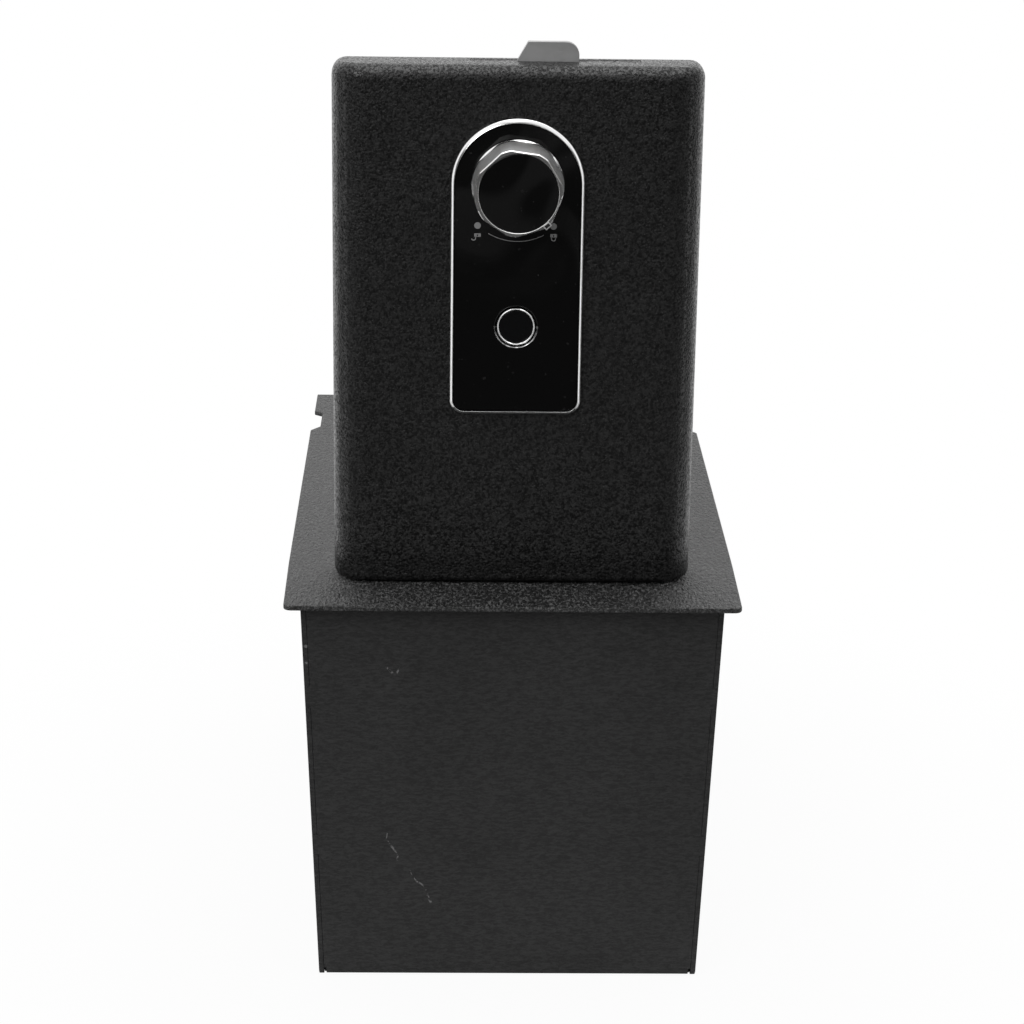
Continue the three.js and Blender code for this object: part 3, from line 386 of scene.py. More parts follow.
# The mat on the box's floor. One piece of black needle felt, 2 mm thick with round corners, cut
# to lie loose on the floor sheet over its anchor holes.
mat_half_width = 0.07318
mat_half_length = 0.134
mat_corner = 0.008
mat_floor = 0.002
mat_thickness = 0.002
mat_columns = 44
mat_rows = 80
mat_waves = 0.00012
mat_waves_across = 3.0
mat_waves_along = 6.0
mat_wave_room = 0.00015
mat_roll = 0.0006
mat_roll_width = 0.0025


def mat_point(u, v):
    """A point of the mat's outline square, drawn in where the corners are round."""
    x = u * mat_half_width
    y = v * mat_half_length
    over_x = abs(x) - (mat_half_width - mat_corner)
    over_y = abs(y) - (mat_half_length - mat_corner)
    if over_x > 0.0 and over_y > 0.0:
        share = max(over_x, over_y) / math.hypot(over_x, over_y)
        x = math.copysign(mat_half_width - mat_corner + over_x * share, x)
        y = math.copysign(mat_half_length - mat_corner + over_y * share, y)
    return x, y


def mat_top(u, v):
    """The height of the mat's upper side, which waves a little and rolls over at its edges."""
    edge = min(mat_half_width * (1.0 - abs(u)), mat_half_length * (1.0 - abs(v)))
    rolled = mat_roll * max(0.0, 1.0 - edge / mat_roll_width) ** 2
    lie = mat_waves * turbulence.noise(Vector((u * mat_waves_across, v * mat_waves_along, 0.0)))
    return mat_floor + mat_thickness - mat_wave_room + lie - rolled


def solid(name, form, smooth=True):
    """A new object from a closed mesh, with its faces turned outwards."""
    bmesh.ops.recalc_face_normals(form, faces=form.faces)
    return mesh_object(name, form, smooth)


def felt_mat():
    form = bmesh.new()
    top = []
    foot = []
    columns = [2.0 * column / mat_columns - 1.0 for column in range(mat_columns + 1)]
    for row in range(mat_rows + 1):
        v = 2.0 * row / mat_rows - 1.0
        top.append([form.verts.new((*mat_point(u, v), mat_top(u, v))) for u in columns])
        foot.append([form.verts.new((*mat_point(u, v), mat_floor)) for u in columns])
    for row in range(mat_rows):
        for column in range(mat_columns):
            near = top[row]
            far = top[row + 1]
            form.faces.new((near[column], near[column + 1], far[column + 1], far[column]))
            near = foot[row]
            far = foot[row + 1]
            form.faces.new((near[column], far[column], far[column + 1], near[column + 1]))
    sides = [(top[0], foot[0]), (foot[-1], top[-1])]
    sides.append(([line[0] for line in foot], [line[0] for line in top]))
    sides.append(([line[-1] for line in top], [line[-1] for line in foot]))
    for upper, lower in sides:
        for i in range(len(upper) - 1):
            form.faces.new((upper[i], lower[i], lower[i + 1], upper[i + 1]))
    return solid("felt_mat", form)


def felt_finish():
    material, start = new_surface("felt")
    place = on_object(start)
    fibre_place = on_object(start, (1.0, 2.6, 1.0))
    fibres = noise(start, fibre_place, 900.0, detail=4.0, roughness=0.7, distortion=1.4)
    tufts = noise(start, place, 160.0, detail=3.0)
    inputs = {
        "Base Color": blend(start, fibres.rise(0.35, 0.75), shade(0.008), shade(0.030, (1.0, 1.0, 1.05))),
        "Roughness": 0.9 + 0.08 * (tufts - 0.5),
        "Normal": bump(start, fibres + 0.7 * tufts, distance=0.0004, strength=0.9),
        "Sheen Weight": 0.35,
        "Sheen Roughness": 0.5,
    }
    finish(start, inputs)
    return material


def add_piece(piece, material, body):
    piece.data.materials.append(material)
    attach(piece, body)
    return piece


mat = add_piece(felt_mat(), felt_finish(), "box")
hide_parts("floor_mat")


# The rim plate, the strike and the hinge's packer. Flat 2 mm sheet, folded 2 mm sheet and a thicker
# strip, all steel and welded on, with the box's powder coat laid on thicker, so that its skin is
# lumpier and a little glossier. The pale tips of its grain are painted glints.
plate_grey = 0.0140
plate_roughness = 0.40


def cells(start, where, scale, smoothness=0.6):
    settings = {"feature": "SMOOTH_F1"}
    inputs = {"Vector": where, "Scale": scale, "Smoothness": smoothness}
    return start.node("ShaderNodeTexVoronoi", settings, inputs)


def plate_coat():
    material, start = new_surface("plate_coat")
    drawn_out = on_object(start, (1.0, 0.50, 1.0))
    grain = noise(start, drawn_out, 950.0, detail=3.0, roughness=0.62, distortion=0.8)
    lumps = cells(start, drawn_out, 800.0)
    clouds = noise(start, on_object(start), 30.0, detail=2.0)
    grey = 0.35 * clouds.rise(0.3, 0.7) + 0.65 * grain.rise(0.34, 0.66)
    dull = blend(start, grey, shade(0.50 * plate_grey), shade(1.40 * plate_grey))
    # The pale colour on the grain's tips is a painted glint.
    colour = blend(start, grain.rise(0.50, 0.60), dull, shade(6.5 * plate_grey))
    rough = plate_roughness + 0.8 * (grain - 0.5)
    normal = bump(start, grain + 0.45 * lumps, distance=0.0016, strength=0.9)
    finish(start, {"Base Color": colour, "Roughness": rough, "Normal": normal})
    return material


plate_finish = plate_coat()
dress("rim_plate", plate_finish, edge=0.0006)
for name in ("strike_channel", "hinge_packer"):
    dress(name, plate_finish, edge=0.0003)


# The piano hinge. Rolled 1.5 mm steel leaves in nine knuckles on a bright pin, zinc plated, held
# to the packer by five pan-head screws with hexagon sockets.


def zinc_finish():
    material, start = new_surface("zinc_plate")
    place = on_object(start)
    spangle = cells(start, place, 260.0, smoothness=0.2)
    grain = noise(start, on_object(start, (0.4, 1.0, 1.0)), 1400.0, detail=3.0, roughness=0.6)
    dust = noise(start, place, 60.0, detail=3.0)
    bluish = (1.0, 1.01, 1.04)
    plated = blend(start, spangle, shade(0.42, bluish), shade(0.58, bluish))
    colour = blend(start, 0.5 * dust.rise(0.45, 0.75), plated, shade(0.30))
    rough = 0.34 + 0.16 * grain + 0.1 * (dust - 0.5)
    normal = bump(start, grain, distance=0.00006, strength=0.6)
    finish(start, {"Base Color": colour, "Metallic": 1.0, "Roughness": rough, "Normal": normal})
    return material


zinc = zinc_finish()
for name in ("hinge_leaf_fixed", "hinge_leaf_lid", "hinge_pin"):
    dress(name, zinc, edge=0.00018)
for number in range(1, 6):
    dress(f"hinge_screw_{number}", zinc, edge=0.00018)


# The lid. Sheet steel folded over at both sides in a wide bend, with end walls welded in and dressed
# round, under a coarse textured powder coat with a hard, fine grain. Its paler points and flecks are
# painted glints. The slot for the cam's tongue is cut through its far wall, where the slot's faces
# are coloured pale grey.
lid_grey = 0.0062
lid_roughness = 0.38
# The pale grey of the flecks, which are painted glints.
glint_grey = 0.050
slot_grey = 0.45
slot_across = (-0.0183, 0.0461)
slot_deep = (-0.1003, -0.0997)
slot_high = (0.3637, 0.36555)
slot_edge = 0.0001


def lid_coat():
    material, start = new_surface("lid_coat")
    place = on_object(start)
    grains = cells(start, place, 1000.0, smoothness=0.35)
    wrinkle = noise(start, place, 1000.0, detail=3.0, roughness=0.65, distortion=0.6)
    swell = noise(start, on_object(start, (1.0, 1.0, 0.7)), 300.0, detail=2.0)
    clouds = noise(start, place, 40.0, detail=3.0)
    sparkle = noise(start, place, 1500.0, detail=1.0)
    # Paler points on the grain's tips and the pale flecks are painted glints.
    points = (1.0 - grains.rise(0.18, 0.42)) * wrinkle.rise(0.48, 0.66)
    deep = blend(start, clouds.rise(0.3, 0.7), shade(0.35 * lid_grey), shade(0.50 * lid_grey))
    high = blend(start, clouds.rise(0.3, 0.7), shade(2.50 * lid_grey), shade(3.10 * lid_grey))
    base = blend(start, wrinkle.rise(0.38, 0.66), deep, high)
    glint_tipped = blend(start, 0.35 * points, base, shade(3.4 * lid_grey))
    flecked = blend(start, 0.7 * sparkle.rise(0.67, 0.75), glint_tipped, shade(glint_grey))
    # The faces in the slot are coloured pale grey.
    in_slot = between(place.axis("X"), *slot_across, slot_edge)
    in_slot = in_slot * between(place.axis("Y"), *slot_deep, slot_edge)
    in_slot = in_slot * between(place.axis("Z"), *slot_high, slot_edge)
    height = 0.8 * wrinkle - 0.7 * grains + 0.5 * swell
    inputs = {
        "Base Color": blend(start, in_slot, flecked, shade(slot_grey)),
        "Roughness": lid_roughness + 0.18 * (wrinkle - 0.5),
        "Normal": bump(start, height, distance=0.0005, strength=0.9),
        "Specular IOR Level": 0.25,
        "Coat Weight": 0.9 * wrinkle.rise(0.46, 0.56),
        "Coat Roughness": 0.26,
    }
    finish(start, inputs)
    return material


dress("lid_shell", lid_coat(), edge=0.0003)


# The lock's panel. A black gloss moulding in a polished chrome bezel that slopes outwards, on a thin
# rubber gasket. Lock marks are printed on it: two dots, two padlocks and an arc for the knob's travel.
# They are drawn upside down, because the lid is read from its other side when it is shut.
lid_wall_y = -0.0975
lid_wall_z = 0.1623
knob_place = 0.1595
sensor_place = 0.1047
panel_half = 0.0251
panel_foot = 0.0700
panel_corner = 0.0056
corner_steps = 12
side_steps = 9
crown_steps = 64
bezel_width = 0.0015
bezel_swell = 0.35
bezel_foot = 0.0205
bezel_top = 0.0228
face_top = 0.0222
bezel_root = face_top - 0.0005
# Each point of the bezel's slope has its inset from the outline and its drop from the crest.
bezel_slope = [
    (0.0, 0.00094),
    (0.00008, 0.00082),
    (0.00018, 0.00070),
    (0.00092, 0.00008),
    (0.00100, 0.00002),
    (0.00106, 0.0),
    (0.00112, 0.00004),
    (0.00114, 0.00010),
]
# The heights over which the painted reflection on the gloss fades in.
reflection_height = (0.274, 0.294)
print_thickness = 0.00003
print_grey = 0.30
dot_radius = 0.00125
dot_sides = 32
dot_places = [(-0.0150, 0.1440), (0.0136, 0.1439)]
open_padlock_place = (-0.0150, 0.1396)
shut_padlock_place = (0.0137, 0.1396)
padlock_half = 0.00125
padlock_top = 0.00135
padlock_foot = 0.00005
keyhole_half = 0.00026
keyhole_top = 0.0004
keyhole_foot = 0.0003
shackle_line = 0.00036
shackle_reach = 0.00078
shackle_overlap = 0.0001
shackle_steps = 16
open_shackle_aside = 0.00022
open_shackle_drop = 0.0005
open_shackle_start = -165.0
shut_shackle_drop = 0.00055
shut_shackle_start = -180.0
arc_radius = 0.0215
arc_width = 0.00025
arc_ends = (-120.5, -62.5)
arc_steps = 40


def on_lid(x, along, height):
    """A point of the standing lid, from its place across, along and above the lid as drawn shut."""
    return Vector((x, lid_wall_y - height, lid_wall_z + along))


def arc_points(middle_x, middle_y, radius, first, last, steps):
    angles = [math.radians(first + (last - first) * step / steps) for step in range(steps + 1)]
    return [(middle_x + radius * math.cos(a), middle_y + radius * math.sin(a)) for a in angles]


def arch_points(inset):
    """The panel's outline: round above the knob, square with small corners below the sensor."""
    half = panel_half - inset
    corner = panel_corner - inset
    side_foot = panel_foot + inset + corner
    rise = knob_place - side_foot
    points = arc_points(half - corner, side_foot, corner, -90.0, 0.0, corner_steps)
    for step in range(1, side_steps):
        points.append((half, side_foot + rise * step / side_steps))
    for step in range(crown_steps + 1):
        angle = math.radians(180.0 * step / crown_steps)
        reach = half - bezel_swell * inset * math.sin(angle)
        points.append((reach * math.cos(angle), knob_place + reach * math.sin(angle)))
    for step in range(1, side_steps):
        points.append((-half, knob_place - rise * step / side_steps))
    points += arc_points(corner - half, side_foot, corner, 180.0, 270.0, corner_steps)
    return points


def skin(form, loops, ring=False):
    """Faces over loops with equal numbers of points. In a ring the last loop joins the first, and
    otherwise the two ends are closed."""
    rows = [[form.verts.new(point) for point in loop] for loop in loops]
    pairs = list(zip(rows, rows[1:]))
    if ring:
        pairs.append((rows[-1], rows[0]))
    for low, high in pairs:
        for i in range(len(low)):
            j = (i + 1) % len(low)
            form.faces.new((low[i], low[j], high[j], high[i]))
    if not ring:
        form.faces.new(rows[0])
        form.faces.new(rows[-1])


def loft(name, loops, ring=True):
    form = bmesh.new()
    skin(form, loops, ring)
    return solid(name, form)


def chrome_finish():
    material, start = new_surface("chrome")
    place = on_object(start)
    smear = noise(start, place, 55.0, detail=3.0, roughness=0.6, distortion=0.5)
    orange = noise(start, place, 260.0, detail=2.0)
    fine = noise(start, place, 2400.0, detail=2.0)
    film = smear.rise(0.45, 0.75)
    colour = blend(start, 0.35 * film, shade(0.90), shade(0.78, (1.0, 0.99, 0.97)))
    rough = 0.09 + 0.10 * film + 0.04 * fine
    normal = bump(start, orange + 0.1 * fine, distance=0.00006, strength=0.35)
    finish(start, {"Base Color": colour, "Metallic": 1.0, "Roughness": rough, "Normal": normal})
    return material


def gloss_finish():
    """Black gloss with faint painted reflections round the knob, small marks and a few specks of dust."""
    material, start = new_surface("gloss_black")
    place = on_object(start)
    smear_place = on_object(start, (1.0, 1.0, 0.5))
    smear = noise(start, smear_place, 70.0, detail=3.0, roughness=0.6, distortion=1.0)
    speck = noise(start, place, 1300.0, detail=1.0).rise(0.80, 0.83)
    # Soft paler patches on the upper part, a painted reflection.
    film = noise(start, place, 26.0, detail=1.0, roughness=0.5, distortion=1.5).rise(0.44, 0.60)
    film = film * place.axis("Z").rise(*reflection_height)
    marks = noise(start, place, 420.0, detail=1.0).rise(0.72, 0.80)
    painted_reflection = blend(start, film, shade(0.0014), shade(0.0085))
    marked = blend(start, marks, painted_reflection, shade(0.016))
    inputs = {
        "Base Color": blend(start, speck, marked, shade(0.05)),
        "Roughness": 0.06 + 0.06 * smear.rise(0.45, 0.8) + 0.4 * speck,
        "Normal": bump(start, smear + 0.3 * speck, distance=0.00003, strength=0.25),
        "Specular IOR Level": 0.35,
    }
    finish(start, inputs)
    return material


def rubber_finish():
    material, start = new_surface("rubber")
    place = on_object(start)
    fine = noise(start, place, 1500.0, detail=3.0)
    bloom = noise(start, place, 120.0, detail=3.0)
    colour = blend(start, bloom.rise(0.4, 0.8), shade(0.007), shade(0.016))
    rough = 0.72 + 0.2 * (fine - 0.5)
    normal = bump(start, fine, distance=0.00008, strength=0.6)
    finish(start, {"Base Color": colour, "Roughness": rough, "Normal": normal})
    return material


def print_finish(name, grey):
    material, start = new_surface(name)
    grain = noise(start, on_object(start), 1800.0, detail=2.0)
    colour = blend(start, grain, shade(0.8 * grey), shade(1.15 * grey))
    rough = 0.5 + 0.15 * (grain - 0.5)
    normal = bump(start, grain, distance=0.00001, strength=0.3)
    finish(start, {"Base Color": colour, "Roughness": rough, "Normal": normal})
    return material


chrome = chrome_finish()
gloss = gloss_finish()
rubber = rubber_finish()
ink = print_finish("grey_print", print_grey)
dress("lock_gasket", rubber, edge=0.00015)
dress("lock_face", gloss, edge=0.00012, segments=3)

bezel_profile = [(0.0, bezel_foot)]
bezel_profile += [(inset, bezel_top - drop) for inset, drop in bezel_slope]
bezel_profile += [(bezel_slope[-1][0], bezel_root), (bezel_width, bezel_root), (bezel_width, bezel_foot)]
bezel_loops = [[on_lid(x, y, height) for x, y in arch_points(inset)] for inset, height in bezel_profile]
bezel = add_piece(loft("bezel", bezel_loops), chrome, "lid")
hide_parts("lock_rim")


def printed(name, outlines):
    """Thin ink on the panel's face, one flat prism for each closed outline."""
    form = bmesh.new()
    for outline in outlines:
        low = [on_lid(x, y, face_top) for x, y in outline]
        high = [on_lid(x, y, face_top + print_thickness) for x, y in outline]
        skin(form, [low, high])
    return add_piece(solid(name, form, smooth=False), ink, "lid")


def band(middle_x, middle_y, radius, width, first, last, steps):
    """A strip along an arc, as a closed outline."""
    outer = arc_points(middle_x, middle_y, radius + width / 2, first, last, steps)
    inner = arc_points(middle_x, middle_y, radius - width / 2, first, last, steps)
    return outer + inner[::-1]


def rectangle(x0, x1, y0, y1):
    return [(x0, y0), (x1, y0), (x1, y1), (x0, y1)]


def padlock(place, opened):
    """An upside-down padlock: its body above with a keyhole slot, its shackle below."""
    middle, height = place
    left = middle - padlock_half
    right = middle + padlock_half
    hole_left = middle - keyhole_half
    hole_right = middle + keyhole_half
    top = height + padlock_top
    foot = height + padlock_foot
    parts = [rectangle(left, hole_left, foot, top), rectangle(hole_right, right, foot, top)]
    parts.append(rectangle(hole_left, hole_right, top - keyhole_top, top))
    parts.append(rectangle(hole_left, hole_right, foot, foot + keyhole_foot))
    bow_x = left - open_shackle_aside if opened else middle
    bow_y = foot - (open_shackle_drop if opened else shut_shackle_drop)
    bow_start = open_shackle_start if opened else shut_shackle_start
    parts.append(band(bow_x, bow_y, shackle_reach, shackle_line, bow_start, 0.0, shackle_steps))
    for side in ((1,) if opened else (-1, 1)):
        leg = bow_x + side * shackle_reach
        leg_top = foot + shackle_overlap
        parts.append(rectangle(leg - shackle_line / 2, leg + shackle_line / 2, bow_y, leg_top))
    return parts


dots = [arc_points(*place, dot_radius, 0.0, 360.0, dot_sides)[:-1] for place in dot_places]
printed("mark_dots", dots)
printed("mark_padlock_open", padlock(open_padlock_place, opened=True))
printed("mark_padlock_locked", padlock(shut_padlock_place, opened=False))
printed("mark_arc", [band(0.0, knob_place, arc_radius, arc_width, *arc_ends, arc_steps)])


# The fingerprint sensor. A disc of dark glass in a polished ring, low in a round dish of the panel
# whose lower lip is polished too, with its moulded body behind.
sensor_sides = 72
sensor_ring_outer = 0.0073
sensor_ring_inner = 0.0065
sensor_ring_foot = 0.0205
sensor_ring_top = 0.0225
# Each point of the ring's rounded edges has its inset from the side and its drop from the crest.
ring_round = [(0.0, 0.00040), (0.00003, 0.00033), (0.00034, 0.00004)]
ring_crest = 0.00040
dish_inner = 0.00780
dish_outer = 0.00835
dish_depth = 0.00042
dish_root = 0.0006
dish_lip = 0.00006
dish_crest = 0.00004
polish_heights = (-0.0012, 0.0006)


def around(middle, radius, angle, height):
    """A point around an upright of the lid that stands at a place along its middle line."""
    return on_lid(radius * math.cos(angle), middle + radius * math.sin(angle), height)


def turned(name, middle, profile):
    """A body of revolution about an upright of the lid, from radii and heights."""
    angles = [2.0 * math.pi * step / sensor_sides for step in range(sensor_sides)]
    return loft(name, [[around(middle, radius, a, height) for a in angles] for radius, height in profile])


def matt_finish():
    material, start = new_surface("matt_black")
    spark = noise(start, on_object(start), 1800.0, detail=2.0)
    flow = noise(start, on_object(start, (1.0, 1.0, 0.4)), 90.0, detail=2.0)
    colour = blend(start, flow, shade(0.011), shade(0.019))
    rough = 0.55 + 0.2 * (spark - 0.5)
    normal = bump(start, spark, distance=0.00009, strength=0.8)
    finish(start, {"Base Color": colour, "Roughness": rough, "Normal": normal})
    return material


def sensor_glass():
    material, start = new_surface("sensor_glass")
    touches = noise(start, on_object(start), 300.0, detail=3.0, roughness=0.6, distortion=2.0)
    inputs = {
        "Base Color": blend(start, touches, shade(0.0015), shade(0.0045, (0.9, 0.95, 1.15))),
        "Roughness": 0.08 + 0.12 * touches.rise(0.45, 0.7),
        "Normal": bump(start, touches, distance=0.00002, strength=0.2),
        "Specular IOR Level": 0.35,
    }
    finish(start, inputs)
    return material


def dish_finish():
    """Polished on the dish's lower half, and black gloss like the panel above."""
    material, start = new_surface("dish_lip")
    place = on_object(start)
    smear = noise(start, place, 500.0, detail=2.0)
    middle = lid_wall_z + sensor_place
    upper = place.axis("Z").rise(*[middle + height for height in polish_heights])
    polish = blend(start, smear.rise(0.40, 0.60), shade(0.30), shade(0.80))
    inputs = {
        "Base Color": blend(start, upper, polish, shade(0.004)),
        "Metallic": 1.0 - upper,
        "Roughness": 0.10 + 0.12 * smear,
        "Normal": bump(start, smear, distance=0.00002, strength=0.3),
    }
    finish(start, inputs)
    return material


ring_profile = [(sensor_ring_outer, sensor_ring_foot)]
ring_profile += [(sensor_ring_outer - inset, sensor_ring_top - drop) for inset, drop in ring_round]
ring_profile.append((sensor_ring_outer - ring_crest, sensor_ring_top))
ring_profile += [(sensor_ring_inner + inset, sensor_ring_top - drop) for inset, drop in ring_round[::-1]]
ring_profile.append((sensor_ring_inner, sensor_ring_foot))
sensor_ring = add_piece(turned("sensor_bezel", sensor_place, ring_profile), chrome, "lid")
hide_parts("sensor_ring")
dish_profile = [
    (dish_inner, face_top - dish_depth),
    (dish_outer - dish_lip, face_top + 0.5 * dish_crest),
    (dish_outer, face_top + dish_crest),
    (dish_outer + dish_lip, face_top + 0.25 * dish_crest),
    (dish_outer + dish_lip, face_top - dish_root),
    (dish_inner, face_top - dish_root),
]
add_piece(turned("sensor_dish", sensor_place, dish_profile), dish_finish(), "lid")
matt = matt_finish()
dress("sensor_window", sensor_glass(), edge=0.0002, segments=3)
dress("sensor_body", matt, edge=0.0002)


# The knob. Die-cast and chromed. Its round base slopes up to a body with seven flats and rounded
# corners, satin on its sides and polished on its edges, with a black gloss disc let into its top.
# A set screw holds it on the spindle, and a small pale frame on its rim points to the lock marks.
knob_foot = 0.0225
knob_crown = 0.0373
knob_base_radius = 0.0174
knob_base_height = 0.0005
knob_base_step = 0.00002
knob_flats = 7
knob_first_corner = -46.5
flat_reach = 19.0
flat_low = 0.01676
flat_top = 0.01565
flat_spread = (3.6, 7.3, 10.9, 14.5)
corner_spread = (20.6, 22.3, 24.0)
knob_chamfer = 0.00045
knob_chamfer_width = 0.8 * knob_chamfer
knob_bore = 0.0043
polish_height = 0.0020
polish_edge = 0.0001
rim_polish_edge = 0.00004
recess_radius = 0.0149
recess_depth = 0.0014
recess_edge = 0.0002
screw_hole_radius = 0.0018
screw_hole_angle = math.radians(-100.0)
screw_hole_height = 0.0265
screw_hole_end = 0.019
drill_sides = 28
knob_sharp_angle = 12.0
pip_angle = math.radians(-48.0)
pip_place = 0.0161
pip_half_length = 0.0010
pip_half_width = 0.0014
pip_line = 0.0004
pip_foot = 0.0373
pip_top = 0.0376
pip_chamfer = 0.00014
pip_grey = 0.50
# The sheet of painted shade inside the pip's frame.
shade_sheet_gap = 0.00002
shade_sheet_foot = -0.0001
shade_sheet_top = 0.00005


def knob_angles():
    """Angles around the knob, with degrees from each flat's middle, closer together at corners."""
    half = 180.0 / knob_flats
    one_side = [*flat_spread, flat_reach, *corner_spread]
    offsets = [-half, *[-offset for offset in reversed(one_side)], 0.0, *one_side]
    angles = []
    for flat in range(knob_flats):
        middle = knob_first_corner + (flat + 0.5) * 2 * half
        angles += [(math.radians(middle + offset), offset) for offset in offsets]
    return angles


def body_radius(offset, apothem):
    """The body's radius: a flat near the flat's middle and round at the corners."""
    return apothem / math.cos(math.radians(min(abs(offset), flat_reach)))


def knob_shell():
    sections = []
    for angle, offset in knob_angles():
        low = min(body_radius(offset, flat_low), knob_base_radius - knob_base_step)
        top = body_radius(offset, flat_top)
        profile = [
            (knob_bore, knob_foot),
            (knob_base_radius, knob_foot),
            (knob_base_radius, knob_foot + knob_base_height),
            (low, knob_foot + knob_base_height + knob_base_radius - low),
            (top, knob_crown - knob_chamfer),
            (top - knob_chamfer_width, knob_crown),
            (recess_radius + recess_edge, knob_crown),
            (recess_radius, knob_crown - recess_edge),
            (recess_radius, knob_crown - recess_depth),
            (knob_bore, knob_crown - recess_depth),
        ]
        sections.append([around(knob_place, radius, angle, height) for radius, height in profile])
    return loft("knob_body", list(zip(*sections)))


def drilled(piece, first, last, radius):
    """Cuts a round hole into a new piece, from one point to another."""
    form = bmesh.new()
    sizes = {"radius1": radius, "radius2": radius, "depth": (last - first).length}
    bmesh.ops.create_cone(form, cap_ends=True, segments=drill_sides, **sizes)
    drill = mesh_object("drill", form)
    turn = (last - first).to_track_quat("Z", "Y").to_matrix().to_4x4()
    drill.matrix_world = Matrix.Translation((first + last) / 2) @ turn
    cut = piece.modifiers.new("cut", "BOOLEAN")
    cut.operation = "DIFFERENCE"
    cut.solver = "EXACT"
    cut.object = drill
    bpy.context.view_layer.update()
    shaped = piece.evaluated_get(bpy.context.evaluated_depsgraph_get())
    piece.data = bpy.data.meshes.new_from_object(shaped)
    piece.modifiers.remove(cut)
    bpy.data.objects.remove(drill)
    return piece


def knob_finish():
    material, start = new_surface("satin_chrome")
    place = on_object(start)
    height = lid_wall_y - place.axis("Y")
    brushed = noise(start, on_object(start, (1.0, 0.25, 1.0)), 900.0, detail=2.0)
    smear = noise(start, place, 110.0, detail=3.0)
    rim_foot = knob_crown - knob_chamfer
    foot_top = knob_foot + polish_height
    rim = height.rise(rim_foot - rim_polish_edge, rim_foot)
    foot = 1.0 - height.rise(foot_top - polish_edge, foot_top + polish_edge)
    colour = blend(start, smear.rise(0.35, 0.75), shade(0.95), shade(0.82, (1.0, 0.99, 0.97)))
    rough = 0.42 + 0.12 * (brushed - 0.5) - 0.28 * rim.larger(foot)
    normal = bump(start, brushed, distance=0.00003, strength=0.4)
    finish(start, {"Base Color": colour, "Metallic": 1.0, "Roughness": rough, "Normal": normal})
    return material


hole_ends = [around(knob_place, reach, screw_hole_angle, screw_hole_height)
             for reach in (knob_bore, screw_hole_end)]
shell = drilled(knob_shell(), *hole_ends, screw_hole_radius)
round_edges(shell, edge=0.00008, angle=knob_sharp_angle)
add_piece(shell, knob_finish(), "knob")
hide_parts("knob_shell")
dress("knob_insert", gloss, edge=0.00015, segments=3)
dress("knob_set_screw", zinc, edge=0.00015)


def pip_point(along, across, height):
    """A point of the pip, from its place along and across the knob's radius."""
    x = (pip_place + along) * math.cos(pip_angle) - across * math.sin(pip_angle)
    y = (pip_place + along) * math.sin(pip_angle) + across * math.cos(pip_angle)
    return on_lid(x, knob_place + y, height)


def pip_loop(inset, height):
    along = pip_half_length - inset
    across = pip_half_width - inset
    corners = [(-along, -across), (along, -across), (along, across), (-along, across)]
    return [pip_point(a, b, height) for a, b in corners]


pip_profile = [(0.0, pip_foot), (0.0, pip_top - pip_chamfer), (pip_chamfer, pip_top)]
pip_profile += [(pip_line, pip_top), (pip_line, pip_foot)]
pip = loft("knob_pip", [pip_loop(inset, height) for inset, height in pip_profile])
round_edges(pip, edge=0.00005)
add_piece(pip, print_finish("pale_pip", pip_grey), "knob")
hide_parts("knob_marker")
# A matt black sheet inside the pip's frame is painted shade for its recess.
pip_shade_sheet = [pip_loop(pip_line - shade_sheet_gap, pip_foot + height) for height in (shade_sheet_foot, shade_sheet_top)]
add_piece(loft("knob_pip_shade_sheet", pip_shade_sheet, ring=False), matt, "knob")


# The lock's working parts. A clamp plate and four screws hold the panel to the lid, and a spindle in
# a brass bush and nut carries the notched disc and the cam, whose tongue turns out through the lid's
# far wall. The cam is dull rolled steel, and the other steel parts are zinc plated.


def brass_finish():
    material, start = new_surface("brass")
    turning = noise(start, on_object(start, (1.0, 6.0, 1.0)), 700.0, detail=2.0)
    tarnish = noise(start, on_object(start), 140.0, detail=3.0)
    bright = (0.62, 0.44, 0.17, 1.0)
    dull = (0.36, 0.24, 0.09, 1.0)
    colour = blend(start, tarnish.rise(0.45, 0.8), bright, dull)
    rough = 0.28 + 0.2 * tarnish.rise(0.4, 0.8) + 0.08 * turning
    normal = bump(start, turning, distance=0.00004, strength=0.5)
    finish(start, {"Base Color": colour, "Metallic": 1.0, "Roughness": rough, "Normal": normal})
    return material


def cam_finish():
    material, start = new_surface("cam_steel")
    rolled = noise(start, on_object(start, (0.3, 1.0, 1.0)), 900.0, detail=3.0)
    stain = noise(start, on_object(start), 90.0, detail=3.0)
    rubbed = noise(start, on_object(start, (0.2, 1.0, 2.0)), 500.0, detail=2.0)
    stained = blend(start, stain.rise(0.3, 0.75), shade(0.44), shade(0.34))
    colour = blend(start, 0.5 * rubbed.rise(0.62, 0.7), stained, shade(0.49))
    rough = 0.45 + 0.15 * (rolled - 0.5) + 0.1 * (stain - 0.5)
    normal = bump(start, rolled, distance=0.00008, strength=0.6)
    finish(start, {"Base Color": colour, "Metallic": 0.25, "Roughness": rough, "Normal": normal})
    return material


brass = brass_finish()
for name in ("spindle_bush", "bush_nut"):
    dress(name, brass, edge=0.0002)
dress("cam", cam_finish(), edge=0.00025)
for name in ("spindle", "lock_disc", "cam_washer", "cam_screw", "clamp_plate"):
    dress(name, zinc, edge=0.00018)
for number in range(1, 5):
    dress(f"lock_screw_{number}", zinc, edge=0.00015)


